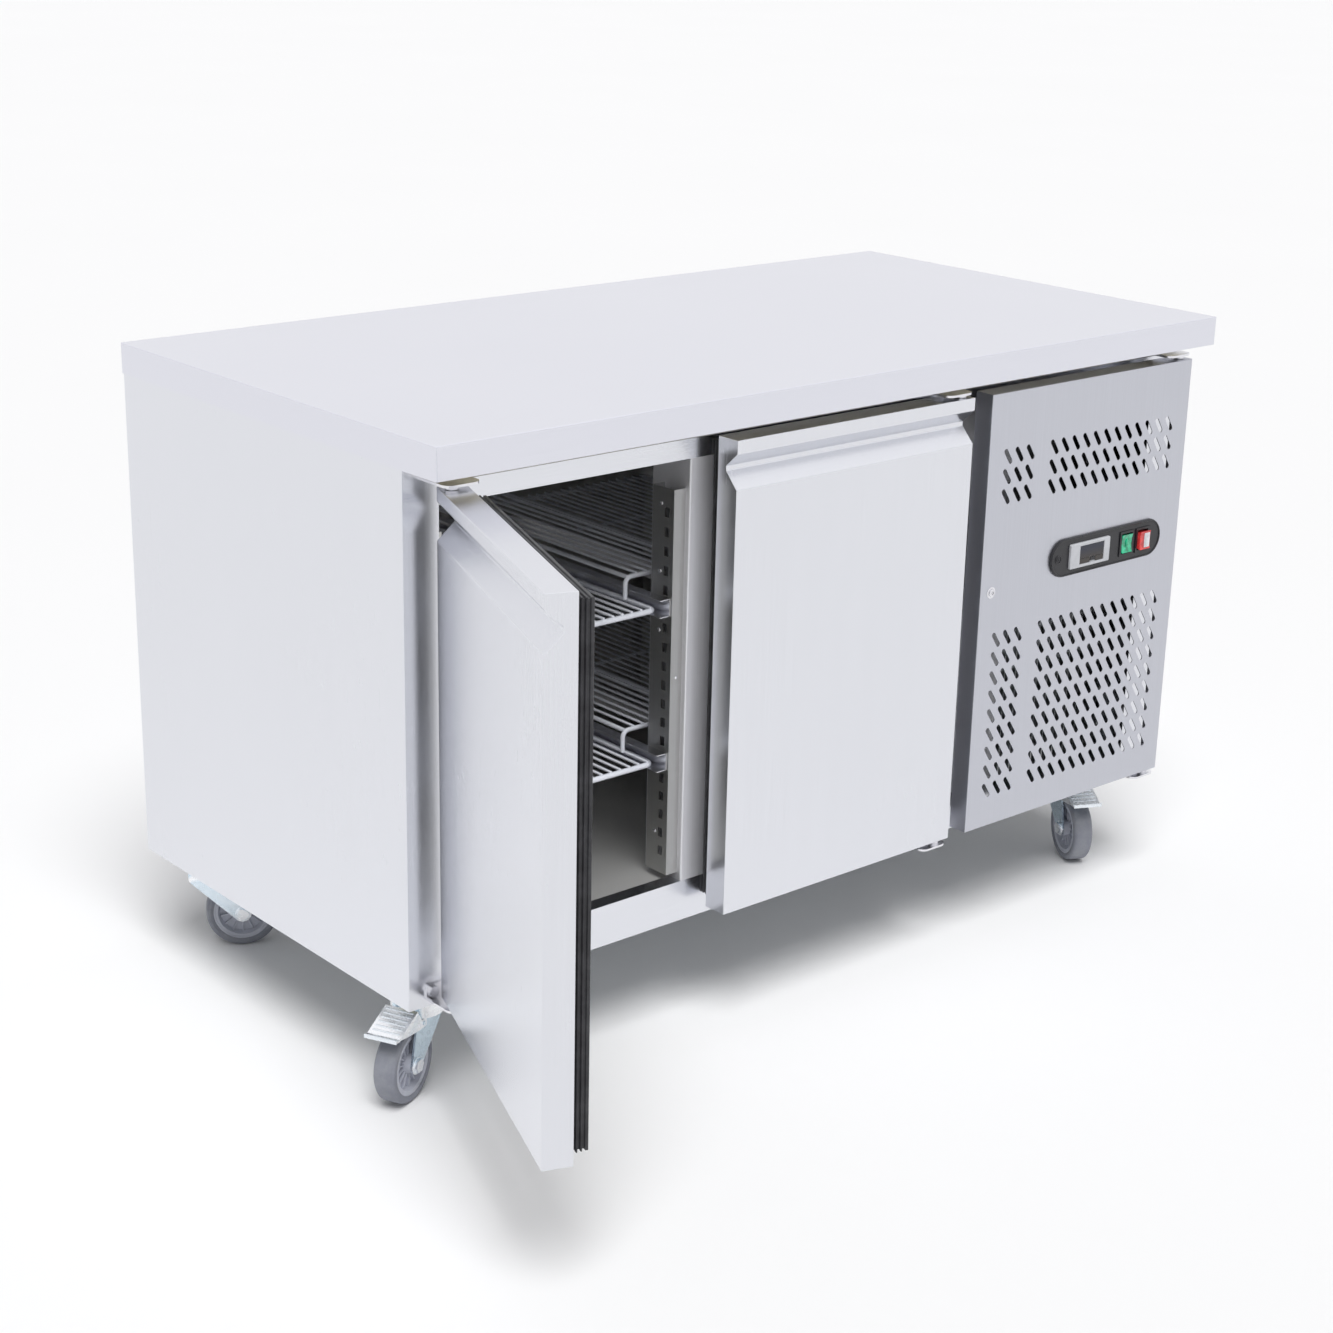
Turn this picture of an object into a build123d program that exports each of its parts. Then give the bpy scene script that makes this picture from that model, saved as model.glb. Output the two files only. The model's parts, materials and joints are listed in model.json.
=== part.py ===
from build123d import *
import math
import os

os.makedirs("parts", exist_ok=True)

# A two-door undercounter refrigerator on four casters. Millimetres.
# X runs to the right, -Y is the front, Z is up. The origin is on the floor
# under the middle of the worktop. The left door is drawn standing open.

# ------------------------------------------------------------ driving dimensions
width = 1360.0  # worktop, left to right
depth = 700.0  # worktop, front to back
height = 850.0  # floor to worktop
skirt = 40.0  # depth of the worktop's folded edge
ground_gap = 146.0  # floor to the underside of the cabinet
sheet = 1.2  # stainless sheet
liner_sheet = 1.0
wall = 50.0  # insulated wall, outside to inside

front = -284.0  # plane of the stiles and rails that the gaskets meet
back = 344.0  # inside of the rear panel
sill_top = 202.0  # underside of the door openings
head = 763.0  # top of the door openings
liner_front = -262.0
liner_back = 296.0
liner_left = -630.0
liner_right = 290.0  # behind the evaporator cover

mullion = (-255.0, -205.0)
post = (170.0, 340.0)  # front of the wall between cold room and machinery
post_back = -214.0

door_width = 420.0
door_bottom = 166.0
door_top = 792.0
door_front = -339.0
door_thickness = 35.0
hinge_inset = 14.0  # hinge axis in from the door's edge and from its face
left_hinge_x = -641.0
right_hinge_x = 178.0
left_door_opening = 111.2  # degrees
gasket_inset = 9.0
gasket_back = 40.5  # gasket's sealing face behind the hinge axis

panel_hinge_x = 633.0
panel_left = 227.0
panel_bottom = 165.0
panel_top = 791.0
panel_depth = 30.0

shelf_width = 324.0
shelf_length = 530.0
shelf_front = -256.0
shelf_levels = (566.0, 361.0)  # centre of the rim wire
shelf_centres = (-439.0, -18.0)
rim_wire = 3.5  # radius
grid_wire = 1.75

wheel_radius = 50.0
wheel_width = 30.0
swivel_offset = 38.0
axle_radius = 5.0
running_gap = 0.08
casters = {  # swivel axis, and the heading that the wheel trails towards
    "front_left": (-620.0, -215.0, 206.0),
    "front_right": (604.0, -203.0, 243.0),
    "back_left": (-606.0, 299.0, -30.0),
    "back_right": (606.0, 299.0, 205.0),
}

# ------------------------------------------------------------ derived values
half_width = width / 2
half_depth = depth / 2
body_top = height - skirt
liner_floor = sill_top - liner_sheet
liner_ceiling = 766.0
hinge_y = door_front + hinge_inset
door_face = -hinge_inset
door_back = door_face + door_thickness
pin_radius = 4.0
pin_bore = pin_radius + running_gap
machine_left = post[1]


# ------------------------------------------------------------ helpers
def block(x, y, z, mode=Mode.ADD, frame=Plane.XY):
    """A box between low and high values along each axis of the frame."""
    with BuildSketch(frame.offset(z[0])) as base:
        with Locations(((x[0] + x[1]) / 2, (y[0] + y[1]) / 2)):
            Rectangle(x[1] - x[0], y[1] - y[0])
    extrude(base.sketch, amount=z[1] - z[0], mode=mode)


def rod(frame, centre, radius, z, mode=Mode.ADD):
    """A round bar along the frame's Z between two heights."""
    with BuildSketch(frame.offset(z[0])) as end:
        with Locations(centre):
            Circle(radius)
    extrude(end.sketch, amount=z[1] - z[0], mode=mode)


def facing_front(y):
    """A plane at y whose X and Y are the object's X and Z, facing forward."""
    return Plane(origin=(0, y, 0), x_dir=(1, 0, 0), z_dir=(0, -1, 0))


def facing_left(x):
    """A plane at x whose X and Y are the object's -Y and Z, facing left."""
    return Plane(origin=(x, 0, 0), x_dir=(0, -1, 0), z_dir=(-1, 0, 0))


def write(builder, name):
    builder.part.label = name
    export_step(builder.part, f"parts/{name}.step")


# ------------------------------------------------------------ worktop
lip = 14.0  # folded back under the skirt
with BuildPart() as worktop:
    block((-half_width, half_width), (-half_depth, half_depth), (body_top, height))
    fillet(worktop.edges().filter_by(Axis.Z), 2.5)
    fillet(worktop.faces().sort_by(Axis.Z)[-1].edges(), 1.5)
    block(
        (-half_width + sheet, half_width - sheet),
        (-half_depth + sheet, half_depth - sheet),
        (body_top + sheet, height - sheet),
        Mode.SUBTRACT,
    )
    block(
        (-half_width + lip, half_width - lip),
        (-half_depth + lip, half_depth - lip),
        (body_top, body_top + sheet),
        Mode.SUBTRACT,
    )
write(worktop, "worktop")


# ------------------------------------------------------------ outer casing
stile = 50.0  # folded front edge of a side panel
rear_flange = 25.0


def side_panel(side):
    """A side skin with its front stile and rear flange; side is -1 left, 1 right."""
    outer = side * half_width

    def across(reach, y):
        edges = sorted((outer, outer - side * reach))
        block(edges, y, (ground_gap, body_top))

    with BuildPart() as panel:
        across(sheet, (front, back))
        across(stile, (front, front + sheet))
        across(rear_flange, (back - sheet, back))
        corner = panel.edges().filter_by(Axis.Z).sort_by(lambda e: side * e.center().X + e.center().Y)
        outer_front = corner.filter_by(lambda e: abs(e.center().X - outer) < 0.01)
        fillet(outer_front.sort_by(Axis.Y)[0], 1.1)
    return panel


left_side_panel = side_panel(-1)
write(left_side_panel, "left_side_panel")
right_side_panel = side_panel(1)
write(right_side_panel, "right_side_panel")

louvre_length = 70.0
louvre_pitch = 15.0
with BuildPart() as back_panel:
    block((-half_width + 2, half_width - 2), (back, back + sheet), (150.0, body_top))
    with BuildSketch(facing_front(back)):
        for louvre_z in (620.0, 300.0):
            with Locations(((machine_left + half_width) / 2 - 5, louvre_z)):
                with GridLocations(95.0, louvre_pitch, 3, 12):
                    SlotOverall(louvre_length, 5.0)
    extrude(amount=-2 * sheet, both=True, mode=Mode.SUBTRACT)
write(back_panel, "back_panel")

bolt_radius = 4.0
bolt_hole = 4.5
plate_spacing = (76.0, 60.0)
with BuildPart() as base_panel:
    block(
        (-half_width + sheet, half_width - sheet),
        (front + sheet, back - sheet),
        (ground_gap, ground_gap + sheet),
    )
    with BuildSketch(Plane.XY.offset(ground_gap)):
        for x, y, _ in casters.values():
            with Locations((x, y)):
                with GridLocations(*plate_spacing, 2, 2):
                    Circle(bolt_hole)
    extrude(amount=sheet, mode=Mode.SUBTRACT)
write(base_panel, "base_panel")

# ------------------------------------------------------------ front frame
rail_depth = liner_front - front
fascia = 788.0  # top edge of the bright rail; the fascia above it is set back
fascia_y = -268.0
with BuildPart() as top_rail:
    across = (-half_width + stile, half_width - stile)
    block(across, (front, front + sheet), (head, fascia))
    block(across, (front, liner_front), (head, head + sheet))
    block(across, (front, fascia_y + sheet), (fascia - sheet, fascia))
    block(across, (fascia_y, fascia_y + sheet), (fascia - sheet, body_top))
write(top_rail, "top_rail")

base_top = ground_gap + sheet
with BuildPart() as bottom_rail:
    across = (-half_width + stile, machine_left)
    block(across, (front, front + sheet), (base_top, sill_top))
    block(across, (front, liner_front), (sill_top - sheet, sill_top))
    block(across, (front, liner_front), (base_top, base_top + sheet))
write(bottom_rail, "bottom_rail")

with BuildPart() as door_posts:
    block(mullion, (front, post_back), (sill_top, head))
    fillet(door_posts.faces().sort_by(Axis.Y)[0].edges().filter_by(Axis.Z), 2.0)
    block(
        (mullion[0] + sheet, mullion[1] - sheet),
        (front + sheet, post_back - sheet),
        (sill_top, head),
        Mode.SUBTRACT,
    )
    block((post[0], post[1]), (front, front + sheet), (sill_top, head))
    block((post[0], post[0] + sheet), (front, post_back), (sill_top, head))
    block((post[0], liner_right), (post_back - sheet, post_back), (sill_top, head))
    block((post[1] - sheet, post[1]), (front, liner_front), (sill_top, head))
    block((post[1] - sheet, post[1]), (liner_front, back), (base_top, body_top))
write(door_posts, "door_posts")

# ------------------------------------------------------------ cold room
with BuildPart() as inner_liner:
    with BuildSketch(Plane.XY.offset(liner_floor)):
        with BuildLine():
            Polyline(
                (liner_left, liner_front),
                (post[0], liner_front),
                (post[0], post_back),
                (liner_right, post_back),
                (liner_right, liner_back),
                (liner_left, liner_back),
                close=True,
            )
        make_face()
    extrude(amount=liner_ceiling - liner_floor)
    inside_walls = inner_liner.edges().filter_by(Axis.Z).filter_by(lambda e: e.center().Y > liner_back - 1)
    fillet(inside_walls, 12.0)
    mouth = inner_liner.faces().filter_by(Axis.Y).sort_by(Axis.Y)[0]
    offset(amount=-liner_sheet, openings=mouth)
    block((mullion[0], mullion[1]), (liner_front, post_back), (sill_top, head), Mode.SUBTRACT)
write(inner_liner, "inner_liner")

seam = 0.3  # between neighbouring slabs of foam
with BuildPart() as insulation:
    side_run = (front + sheet, back - sheet)
    post_run = (front + sheet, post_back - sheet)
    across = (liner_left + seam, liner_right - seam)
    room = (liner_front, liner_back - seam)
    block((mullion[0] + sheet, mullion[1] - sheet), post_run, (sill_top, head))
    block((post[0] + sheet, post[1] - sheet), post_run, (sill_top, head))
    block((-half_width + sheet, liner_left), side_run, (base_top, body_top))
    block((liner_right, post[1] - sheet), (post_back, back), (base_top, body_top))
    block(across, (liner_back, back), (base_top, body_top))
    block(across, room, (base_top, liner_floor))
    block(across, room, (liner_ceiling, body_top))
    block(
        (-half_width + sheet, half_width - sheet),
        (-half_depth + sheet, half_depth - sheet),
        (body_top + sheet, height - sheet),
    )
write(insulation, "insulation")

pilaster_depth = 18.0
pilaster_width = 40.0
pilaster_z = (212.0, 724.0)
front_pilaster_y = -276.0
rear_pilaster_y = liner_back - 13.0 - pilaster_width
slot_pitch = 25.0
pilaster_mounts = {  # the wall that each faces away from, and the way it faces
    "left_wall": (liner_left + liner_sheet, 1),
    "mullion_left": (mullion[0], -1),
    "mullion_right": (mullion[1], 1),
    "evaporator_cover": (post[0] - liner_sheet, -1),
}


def pilaster(root_x, facing, y):
    """A channel standing off a wall, with square holes for the shelf runners."""
    face_x = root_x + facing * pilaster_depth
    webs = sorted((face_x, face_x - facing * liner_sheet))
    flange = sorted((root_x, face_x))
    block(webs, (y, y + pilaster_width), pilaster_z)
    block(flange, (y, y + liner_sheet), pilaster_z)
    block(flange, (y + pilaster_width - liner_sheet, y + pilaster_width), pilaster_z)
    with BuildSketch(facing_left(face_x)) as holes:
        with Locations((-(y + 13.0), (pilaster_z[0] + pilaster_z[1]) / 2)):
            with GridLocations(1.0, slot_pitch, 1, 19):
                Rectangle(8.0, 12.0)
    extrude(holes.sketch, amount=3 * liner_sheet, both=True, mode=Mode.SUBTRACT)


with BuildPart() as shelf_pilasters:
    for root_x, facing in pilaster_mounts.values():
        if root_x == liner_left + liner_sheet:
            front_y = liner_front
        else:
            front_y = front_pilaster_y
        pilaster(root_x, facing, front_y)
        pilaster(root_x, facing, rear_pilaster_y)
write(shelf_pilasters, "shelf_pilasters")

runner_height = 23.0
runner_lip = 16.0
runner_y = (-272.0, liner_back - 4.0)
shelf_clearance = 0.3
with BuildPart() as shelf_runners:
    for root_x, facing in pilaster_mounts.values():
        web = root_x + facing * pilaster_depth
        start = -258.0 if facing > 0 and root_x < mullion[0] else runner_y[0]
        for level in shelf_levels:
            low = level - rim_wire - shelf_clearance - liner_sheet
            walls = sorted((web, web + facing * liner_sheet))
            lips = sorted((web, web + facing * runner_lip))
            run = (start, runner_y[1])
            block(walls, run, (low, low + runner_height))
            block(lips, run, (low, low + liner_sheet))
            block(lips, run, (low + runner_height - liner_sheet, low + runner_height))
write(shelf_runners, "shelf_runners")


def wire_shelf(centre_x, level):
    """A welded shelf: a heavy rim with fine wires across it from front to back."""
    middle_y = shelf_front + shelf_length / 2
    with BuildPart() as shelf:
        half_x = shelf_width / 2 - rim_wire
        half_y = shelf_length / 2 - rim_wire
        with BuildLine(Plane.XY.offset(level)) as rim:
            FilletPolyline(
                (centre_x - half_x, middle_y - half_y),
                (centre_x + half_x, middle_y - half_y),
                (centre_x + half_x, middle_y + half_y),
                (centre_x - half_x, middle_y + half_y),
                radius=10.0,
                close=True,
            )
        with BuildSketch(Plane(origin=rim.line @ 0, z_dir=rim.line % 0)):
            Circle(rim_wire)
        sweep(path=rim.line)
        grid_z = level + rim_wire + grid_wire - 0.6
        wires = 21
        with BuildSketch(facing_front(shelf_front + 2.0)):
            with Locations((centre_x, grid_z)):
                with GridLocations((shelf_width - 24.0) / (wires - 1), 1.0, wires, 1):
                    Circle(grid_wire)
        extrude(amount=-(shelf_length - 4.0))
        with BuildSketch(facing_left(centre_x - shelf_width / 2 + rim_wire)):
            for share in (1 / 3, 2 / 3):
                with Locations((-(shelf_front + shelf_length * share), grid_z - 2 * grid_wire - 0.3)):
                    Circle(2.5)
        extrude(amount=-(shelf_width - 2 * rim_wire))
    return shelf


for side, centre_x in zip(("left", "right"), shelf_centres):
    for place, level in zip(("upper", "lower"), shelf_levels):
        write(wire_shelf(centre_x, level), f"{side}_{place}_shelf")

bridge_half = 64.5  # legs either side of the mullion's centre, clear of the runners
bridge_y = (-210.5, 235.0)
bridge_rise = 35.0
mullion_x = (mullion[0] + mullion[1]) / 2
with BuildPart() as bridge_shelves:
    for level in shelf_levels:
        foot = level + rim_wire + 2 * grid_wire - 0.6 + shelf_clearance
        deck = level + bridge_rise
        for y in bridge_y:
            with BuildLine(facing_front(y)) as hoop:
                FilletPolyline(
                    (mullion_x - bridge_half, foot),
                    (mullion_x - bridge_half, deck),
                    (mullion_x + bridge_half, deck),
                    (mullion_x + bridge_half, foot),
                    radius=9.0,
                )
            with BuildSketch(Plane(origin=hoop.line @ 0, z_dir=hoop.line % 0)):
                Circle(3.0)
            sweep(path=hoop.line)
        with BuildSketch(facing_front(bridge_y[0] - 1.0)):
            with Locations((mullion_x, deck + 3.6)):
                with GridLocations(16.0, 1.0, 7, 1):
                    Circle(grid_wire)
            for x in (mullion_x - bridge_half + 3.0, mullion_x + bridge_half - 3.0):
                with Locations((x, deck)):
                    Circle(2.8)
        extrude(amount=-(bridge_y[1] - bridge_y[0] + 2.0))
write(bridge_shelves, "bridge_shelves")

# ------------------------------------------------------------ evaporator
fan_centre = (40.0, 610.0)  # Y and Z of the evaporator fan
evaporator_fan_radius = 78.0
with BuildPart() as evaporator_cover:
    cover_x = (post[0] - liner_sheet, post[0])
    cover_y = (post_back + liner_sheet, liner_back - liner_sheet)
    block(cover_x, cover_y, (sill_top, liner_ceiling - liner_sheet))
    with BuildSketch(facing_left(post[0])):
        with Locations((-fan_centre[0], fan_centre[1])):
            Circle(evaporator_fan_radius + 4.0)
        with Locations((-fan_centre[0], 290.0)):
            with GridLocations(60.0, 14.0, 5, 7):
                SlotOverall(44.0, 6.0)
    extrude(amount=2 * liner_sheet, both=True, mode=Mode.SUBTRACT)
write(evaporator_cover, "evaporator_cover")


def finned_coil(fin_frame, fin, fins, pitch, rows, columns, spacing, tube, overhang):
    """Fins square to the frame's Z, on a grid of tubes that run along it."""
    length = pitch * (fins - 1)
    thickness = 1.0
    for k in range(fins):
        with BuildSketch(fin_frame.offset(k * pitch)) as plate:
            Rectangle(*fin)
        extrude(plate.sketch, amount=thickness)
    with BuildSketch(fin_frame.offset(-overhang)) as tubes:
        with GridLocations(*spacing, columns, rows):
            Circle(tube)
    extrude(tubes.sketch, amount=length + thickness + 2 * overhang)
    half_gap = spacing[1] / 2
    for end, turn in ((-overhang, -1), (length + thickness + overhang, 1)):
        for column in range(columns):
            x = (column - (columns - 1) / 2) * spacing[0]
            for row in range(0, rows - 1, 2):
                y = (row - (rows - 1) / 2) * spacing[1] + half_gap
                start = fin_frame.from_local_coords((x, y - half_gap, end))
                tip = fin_frame.from_local_coords((x, y, end + turn * half_gap))
                finish = fin_frame.from_local_coords((x, y + half_gap, end))
                with BuildLine() as bend:
                    ThreePointArc(start, tip, finish)
                with BuildSketch(Plane(origin=bend.line @ 0, z_dir=bend.line % 0)) as mouth:
                    Circle(tube)
                sweep(mouth.sketch, path=bend.line)


evaporator_middle = (232.0, 385.0)  # X and Z
with BuildPart() as evaporator_coil:
    coil_frame = Plane(
        origin=(evaporator_middle[0], -130.0, evaporator_middle[1]), x_dir=(1, 0, 0), z_dir=(0, 1, 0)
    )
    finned_coil(coil_frame, (60.0, 200.0), 22, 15.0, 6, 2, (28.0, 30.0), 4.8, 12.0)
write(evaporator_coil, "evaporator_coil")


def fan(fan_frame, radius, hub_radius, blades, chord, depth):
    """A hub with pitched blades, turning about the frame's Z."""
    with BuildPart() as rotor:
        rod(fan_frame, (0, 0), hub_radius, (0.0, depth))
        pitch = math.radians(28.0)
        middle = fan_frame.from_local_coords((0, 0, depth / 2))
        for k in range(blades):
            turn = math.radians(k * 360.0 / blades)
            along = fan_frame.x_dir * math.cos(turn) + fan_frame.y_dir * math.sin(turn)
            round_hub = fan_frame.z_dir.cross(along)
            pitched = Plane(
                origin=middle,
                x_dir=along,
                z_dir=fan_frame.z_dir * math.cos(pitch) + round_hub * math.sin(pitch),
            )
            with BuildSketch(pitched):
                with BuildLine():
                    root = hub_radius - 3.0
                    tip = radius - 1.5
                    Line((root, -chord / 3), (tip - 12.0, -chord / 2))
                    ThreePointArc((tip - 12.0, -chord / 2), (tip, 0.0), (tip - 12.0, chord / 2))
                    Polyline((tip - 12.0, chord / 2), (root, chord / 3), (root, -chord / 3))
                make_face()
            extrude(amount=0.8, both=True)
        rod(fan_frame, (0, 0), 3.0 + running_gap, (0.0, depth), Mode.SUBTRACT)
    return rotor


evaporator_fan_frame = Plane(origin=(174.0, *fan_centre), x_dir=(0, 1, 0), z_dir=(1, 0, 0))
fan_depth = 22.0
write(fan(evaporator_fan_frame, evaporator_fan_radius, 20.0, 5, 52.0, fan_depth), "evaporator_fan")

# ------------------------------------------------------------ refrigeration machinery
condenser_x = (365.0, 655.0)
condenser_y = (-235.0, -185.0)
condenser_z = (165.0, 425.0)
condenser_middle = ((condenser_x[0] + condenser_x[1]) / 2, 295.0)
with BuildPart() as condenser_coil:
    coil_frame = Plane(
        origin=(condenser_x[0] + 22.0, sum(condenser_y) / 2, condenser_middle[1]),
        x_dir=(0, -1, 0),
        z_dir=(1, 0, 0),
    )
    finned_coil(coil_frame, (44.0, 240.0), 21, 12.0, 8, 2, (22.0, 28.0), 4.0, 8.0)
write(condenser_coil, "condenser_coil")

condenser_fan_radius = 95.0
shroud_y = (-180.0, -140.0)
with BuildPart() as condenser_shroud:
    block(condenser_x, shroud_y, (condenser_z[0], condenser_z[1]))
    block(
        (condenser_x[0] + sheet, condenser_x[1] - sheet),
        (shroud_y[0], shroud_y[1] - sheet),
        (condenser_z[0] + sheet, condenser_z[1] - sheet),
        Mode.SUBTRACT,
    )
    with BuildSketch(facing_front(shroud_y[1])):
        with Locations(condenser_middle):
            Circle(condenser_fan_radius + 5.0)
    extrude(amount=2 * sheet, both=True, mode=Mode.SUBTRACT)
    for x in (condenser_x[0] + 20.0, condenser_x[1] - 20.0):
        block((x - 8, x + 8), (shroud_y[0], shroud_y[1] - sheet), (base_top, condenser_z[0]))
write(condenser_shroud, "condenser_shroud")

condenser_fan_frame = Plane(
    origin=(condenser_middle[0], shroud_y[1] - 26.0, condenser_middle[1]), x_dir=(1, 0, 0), z_dir=(0, 1, 0)
)
write(fan(condenser_fan_frame, condenser_fan_radius, 24.0, 5, 64.0, fan_depth), "condenser_fan")

motor_radius = 32.0
motor_length = 48.0
with BuildPart() as fan_motors:
    for frame_, arm in ((evaporator_fan_frame, 112.0), (condenser_fan_frame, 125.0)):
        rod(frame_, (0, 0), 3.0, (2.0, fan_depth + 4.0))
        rod(frame_, (0, 0), motor_radius, (fan_depth + 3.0, fan_depth + 3.0 + motor_length))
        strap = (fan_depth + 3.0 + motor_length, fan_depth + 5.0 + motor_length)
        reach = arm if frame_ is condenser_fan_frame else 90.0
        block((-reach, reach), (-7.0, 7.0), strap, frame=frame_)
write(fan_motors, "fan_motors")

compressor_xy = (520.0, 110.0)
compressor_foot_z = 162.0
compressor_radius = 76.0
compressor_z = (170.0, 342.0)
weld_z = (246.0, 251.0)
with BuildPart() as compressor:
    shell_axis = Plane(origin=(*compressor_xy, 0), z_dir=(0, 0, 1))
    rod(shell_axis, (0, 0), compressor_radius, compressor_z)
    fillet(compressor.edges().filter_by(GeomType.CIRCLE).sort_by(Axis.Z)[-1], 46.0)
    fillet(compressor.edges().filter_by(GeomType.CIRCLE).sort_by(Axis.Z)[0], 16.0)
    rod(shell_axis, (0, 0), compressor_radius + 3.0, weld_z)
    block(
        (compressor_xy[0] - 95.0, compressor_xy[0] + 95.0),
        (compressor_xy[1] - 55.0, compressor_xy[1] + 55.0),
        (compressor_foot_z, 172.0),
    )
    block(
        (compressor_xy[0] - 92.0, compressor_xy[0] + 92.0),
        (compressor_xy[1] - 56.0, compressor_xy[1] + 56.0),
        (compressor_foot_z, 169.0),
        Mode.SUBTRACT,
    )
    with BuildSketch(Plane.XY.offset(base_top)):
        with Locations(compressor_xy):
            with GridLocations(164.0, 90.0, 2, 2):
                Circle(11.0)
    extrude(amount=170.0 - base_top)
write(compressor, "compressor")


def pipe(points, bends, radius):
    with BuildLine() as run:
        FilletPolyline(*points, radius=bends)
    with BuildSketch(Plane(origin=run.line @ 0, z_dir=run.line % 0)) as end:
        Circle(radius)
    sweep(end.sketch, path=run.line)


with BuildPart() as refrigerant_pipes:
    # discharge line to the top of the condenser
    pipe(((596.5, 110, 215), (640, 110, 215), (640, 110, 460), (640, -210, 460), (640, -210, 420)), 16.0, 3.2)
    # suction line back from the cold room
    pipe(((machine_left + 1, 60, 520), (470, 60, 520), (470, 180, 520), (470, 180, 300)), 18.0, 4.8)
    # liquid line, through the filter drier, into the wall
    pipe(((machine_left + 1, -60, 500), (375, -60, 500), (375, -60, 455)), 12.0, 3.2)
    rod(Plane(origin=(375, -60, 0), z_dir=(0, 0, 1)), (0, 0), 12.0, (330.0, 456.0))
    pipe(((375, -60, 331), (375, -60, 230), (375, -130, 230)), 14.0, 3.2)
write(refrigerant_pipes, "refrigerant_pipes")

with BuildPart() as junction_box:
    block((400.0, 600.0), (-190.0, -90.0), (560.0, 690.0))
    fillet(junction_box.edges().filter_by(Axis.Z), 6.0)
    fillet(junction_box.faces().sort_by(Axis.Y)[0].edges(), 2.0)
    block((398.0, 602.0), (-194.0, -184.0), (558.0, 692.0))
write(junction_box, "junction_box")

gland_xz = (600.0, 190.0)
with BuildPart() as cable_gland:
    gland_frame = Plane(origin=(gland_xz[0], back - 6.0, gland_xz[1]), x_dir=(1, 0, 0), z_dir=(0, 1, 0))
    rod(gland_frame, (0, 0), 7.0, (-8.0, 6.0))
    with BuildSketch(gland_frame.offset(0.0)):
        RegularPolygon(13.0, 6)
    extrude(amount=6.0 - 0.01)
    rod(gland_frame, (0, 0), 4.2, (-8.0, 8.0), Mode.SUBTRACT)
write(cable_gland, "cable_gland")

# ------------------------------------------------------------ hinges
bracket_outboard = 15.0  # from the hinge axis towards the near edge of the door
bracket_inboard = 34.0
bracket_plate = 3.0
hinges = ((left_hinge_x, -1), (right_hinge_x, 1), (panel_hinge_x, 1))  # axis, and its outboard way
top_plate_z = (796.0, 799.0)
ledge_z = (155.5, 158.5)
bracket_top = 174.5


def hinge_plate(plane, hinge, root, tip, radius):
    """A flat plate across the hinge with its two outer corners rounded."""
    x, outboard = hinge
    with BuildSketch(plane) as outline:
        with Locations((x - outboard * (bracket_inboard - bracket_outboard) / 2, (root + tip) / 2)):
            Rectangle(bracket_inboard + bracket_outboard, abs(tip - root))
        fillet(outline.vertices().filter_by(lambda v: abs(v.Y - tip) < 0.01), radius)
    extrude(outline.sketch, amount=bracket_plate)


with BuildPart() as hinge_brackets:
    for hinge in hinges:
        top_root = fascia_y if hinge[0] == right_hinge_x else front
        hinge_plate(Plane.XY.offset(top_plate_z[0]), hinge, top_root, hinge_y - 12.0, 11.0)
        hinge_plate(Plane.XY.offset(ledge_z[0]), hinge, front, hinge_y - 12.0, 11.0)
        hinge_plate(facing_front(front), hinge, ledge_z[0], bracket_top, 5.0)
write(hinge_brackets, "hinge_brackets")

pin_reach = 18.0  # into the door
with BuildPart() as hinge_pins:
    for x, bottom, top in (
        (left_hinge_x, door_bottom, door_top),
        (right_hinge_x, door_bottom, door_top),
        (panel_hinge_x, panel_bottom, panel_top),
    ):
        pin_axis = Plane(origin=(x, hinge_y, 0), z_dir=(0, 0, 1))
        rod(pin_axis, (0, 0), pin_radius, (top - pin_reach, top_plate_z[0]))
        rod(pin_axis, (0, 0), 8.0, (top + 0.8, top_plate_z[0]))
        rod(pin_axis, (0, 0), pin_radius, (ledge_z[1], bottom + pin_reach))
        rod(pin_axis, (0, 0), 7.0, (ledge_z[1], bottom - 0.8))
write(hinge_pins, "hinge_pins")

# ------------------------------------------------------------ casters
top_plate = (100.0, 84.0)
plate_z = (142.5, ground_gap)
raceway_z = 131.0
with BuildPart() as caster_plates:
    for x, y, _ in casters.values():
        with BuildSketch(Plane.XY.offset(plate_z[0])):
            with Locations((x, y)):
                RectangleRounded(*top_plate, 8.0)
                with GridLocations(*plate_spacing, 2, 2):
                    Circle(bolt_hole, mode=Mode.SUBTRACT)
        extrude(amount=plate_z[1] - plate_z[0])
        rod(Plane(origin=(x, y, 0), z_dir=(0, 0, 1)), (0, 0), 22.0, (raceway_z, plate_z[0]))
write(caster_plates, "caster_plates")

hex_flat = 13.0
head_height = 5.3
with BuildPart() as fasteners:
    for x, y, _ in casters.values():
        with BuildSketch(Plane.XY.offset(plate_z[0] - head_height)):
            with Locations((x, y)):
                with GridLocations(*plate_spacing, 2, 2):
                    RegularPolygon(hex_flat / 2, 6, major_radius=False)
        extrude(amount=head_height)
        with BuildSketch(Plane.XY.offset(plate_z[0] - 1.0)):
            with Locations((x, y)):
                with GridLocations(*plate_spacing, 2, 2):
                    Circle(bolt_radius)
        extrude(amount=ground_gap + sheet - plate_z[0] + 1.0)
    for x, outboard in hinges:
        with BuildSketch(facing_front(front - bracket_plate)):
            with Locations((x + outboard * 7.0, (ledge_z[1] + bracket_top) / 2)):
                RegularPolygon(hex_flat / 2, 6, major_radius=False)
        extrude(amount=head_height)
write(fasteners, "fasteners")

crown_z = (108.0, 114.0)
cup_z = (crown_z[0], 138.5)
cup_radius = 34.0
fork_half = 17.0
leg_sheet = 2.8
pedal_pivot = (24.0, 101.5)
axle_end = fork_half + leg_sheet + 4.5


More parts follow.
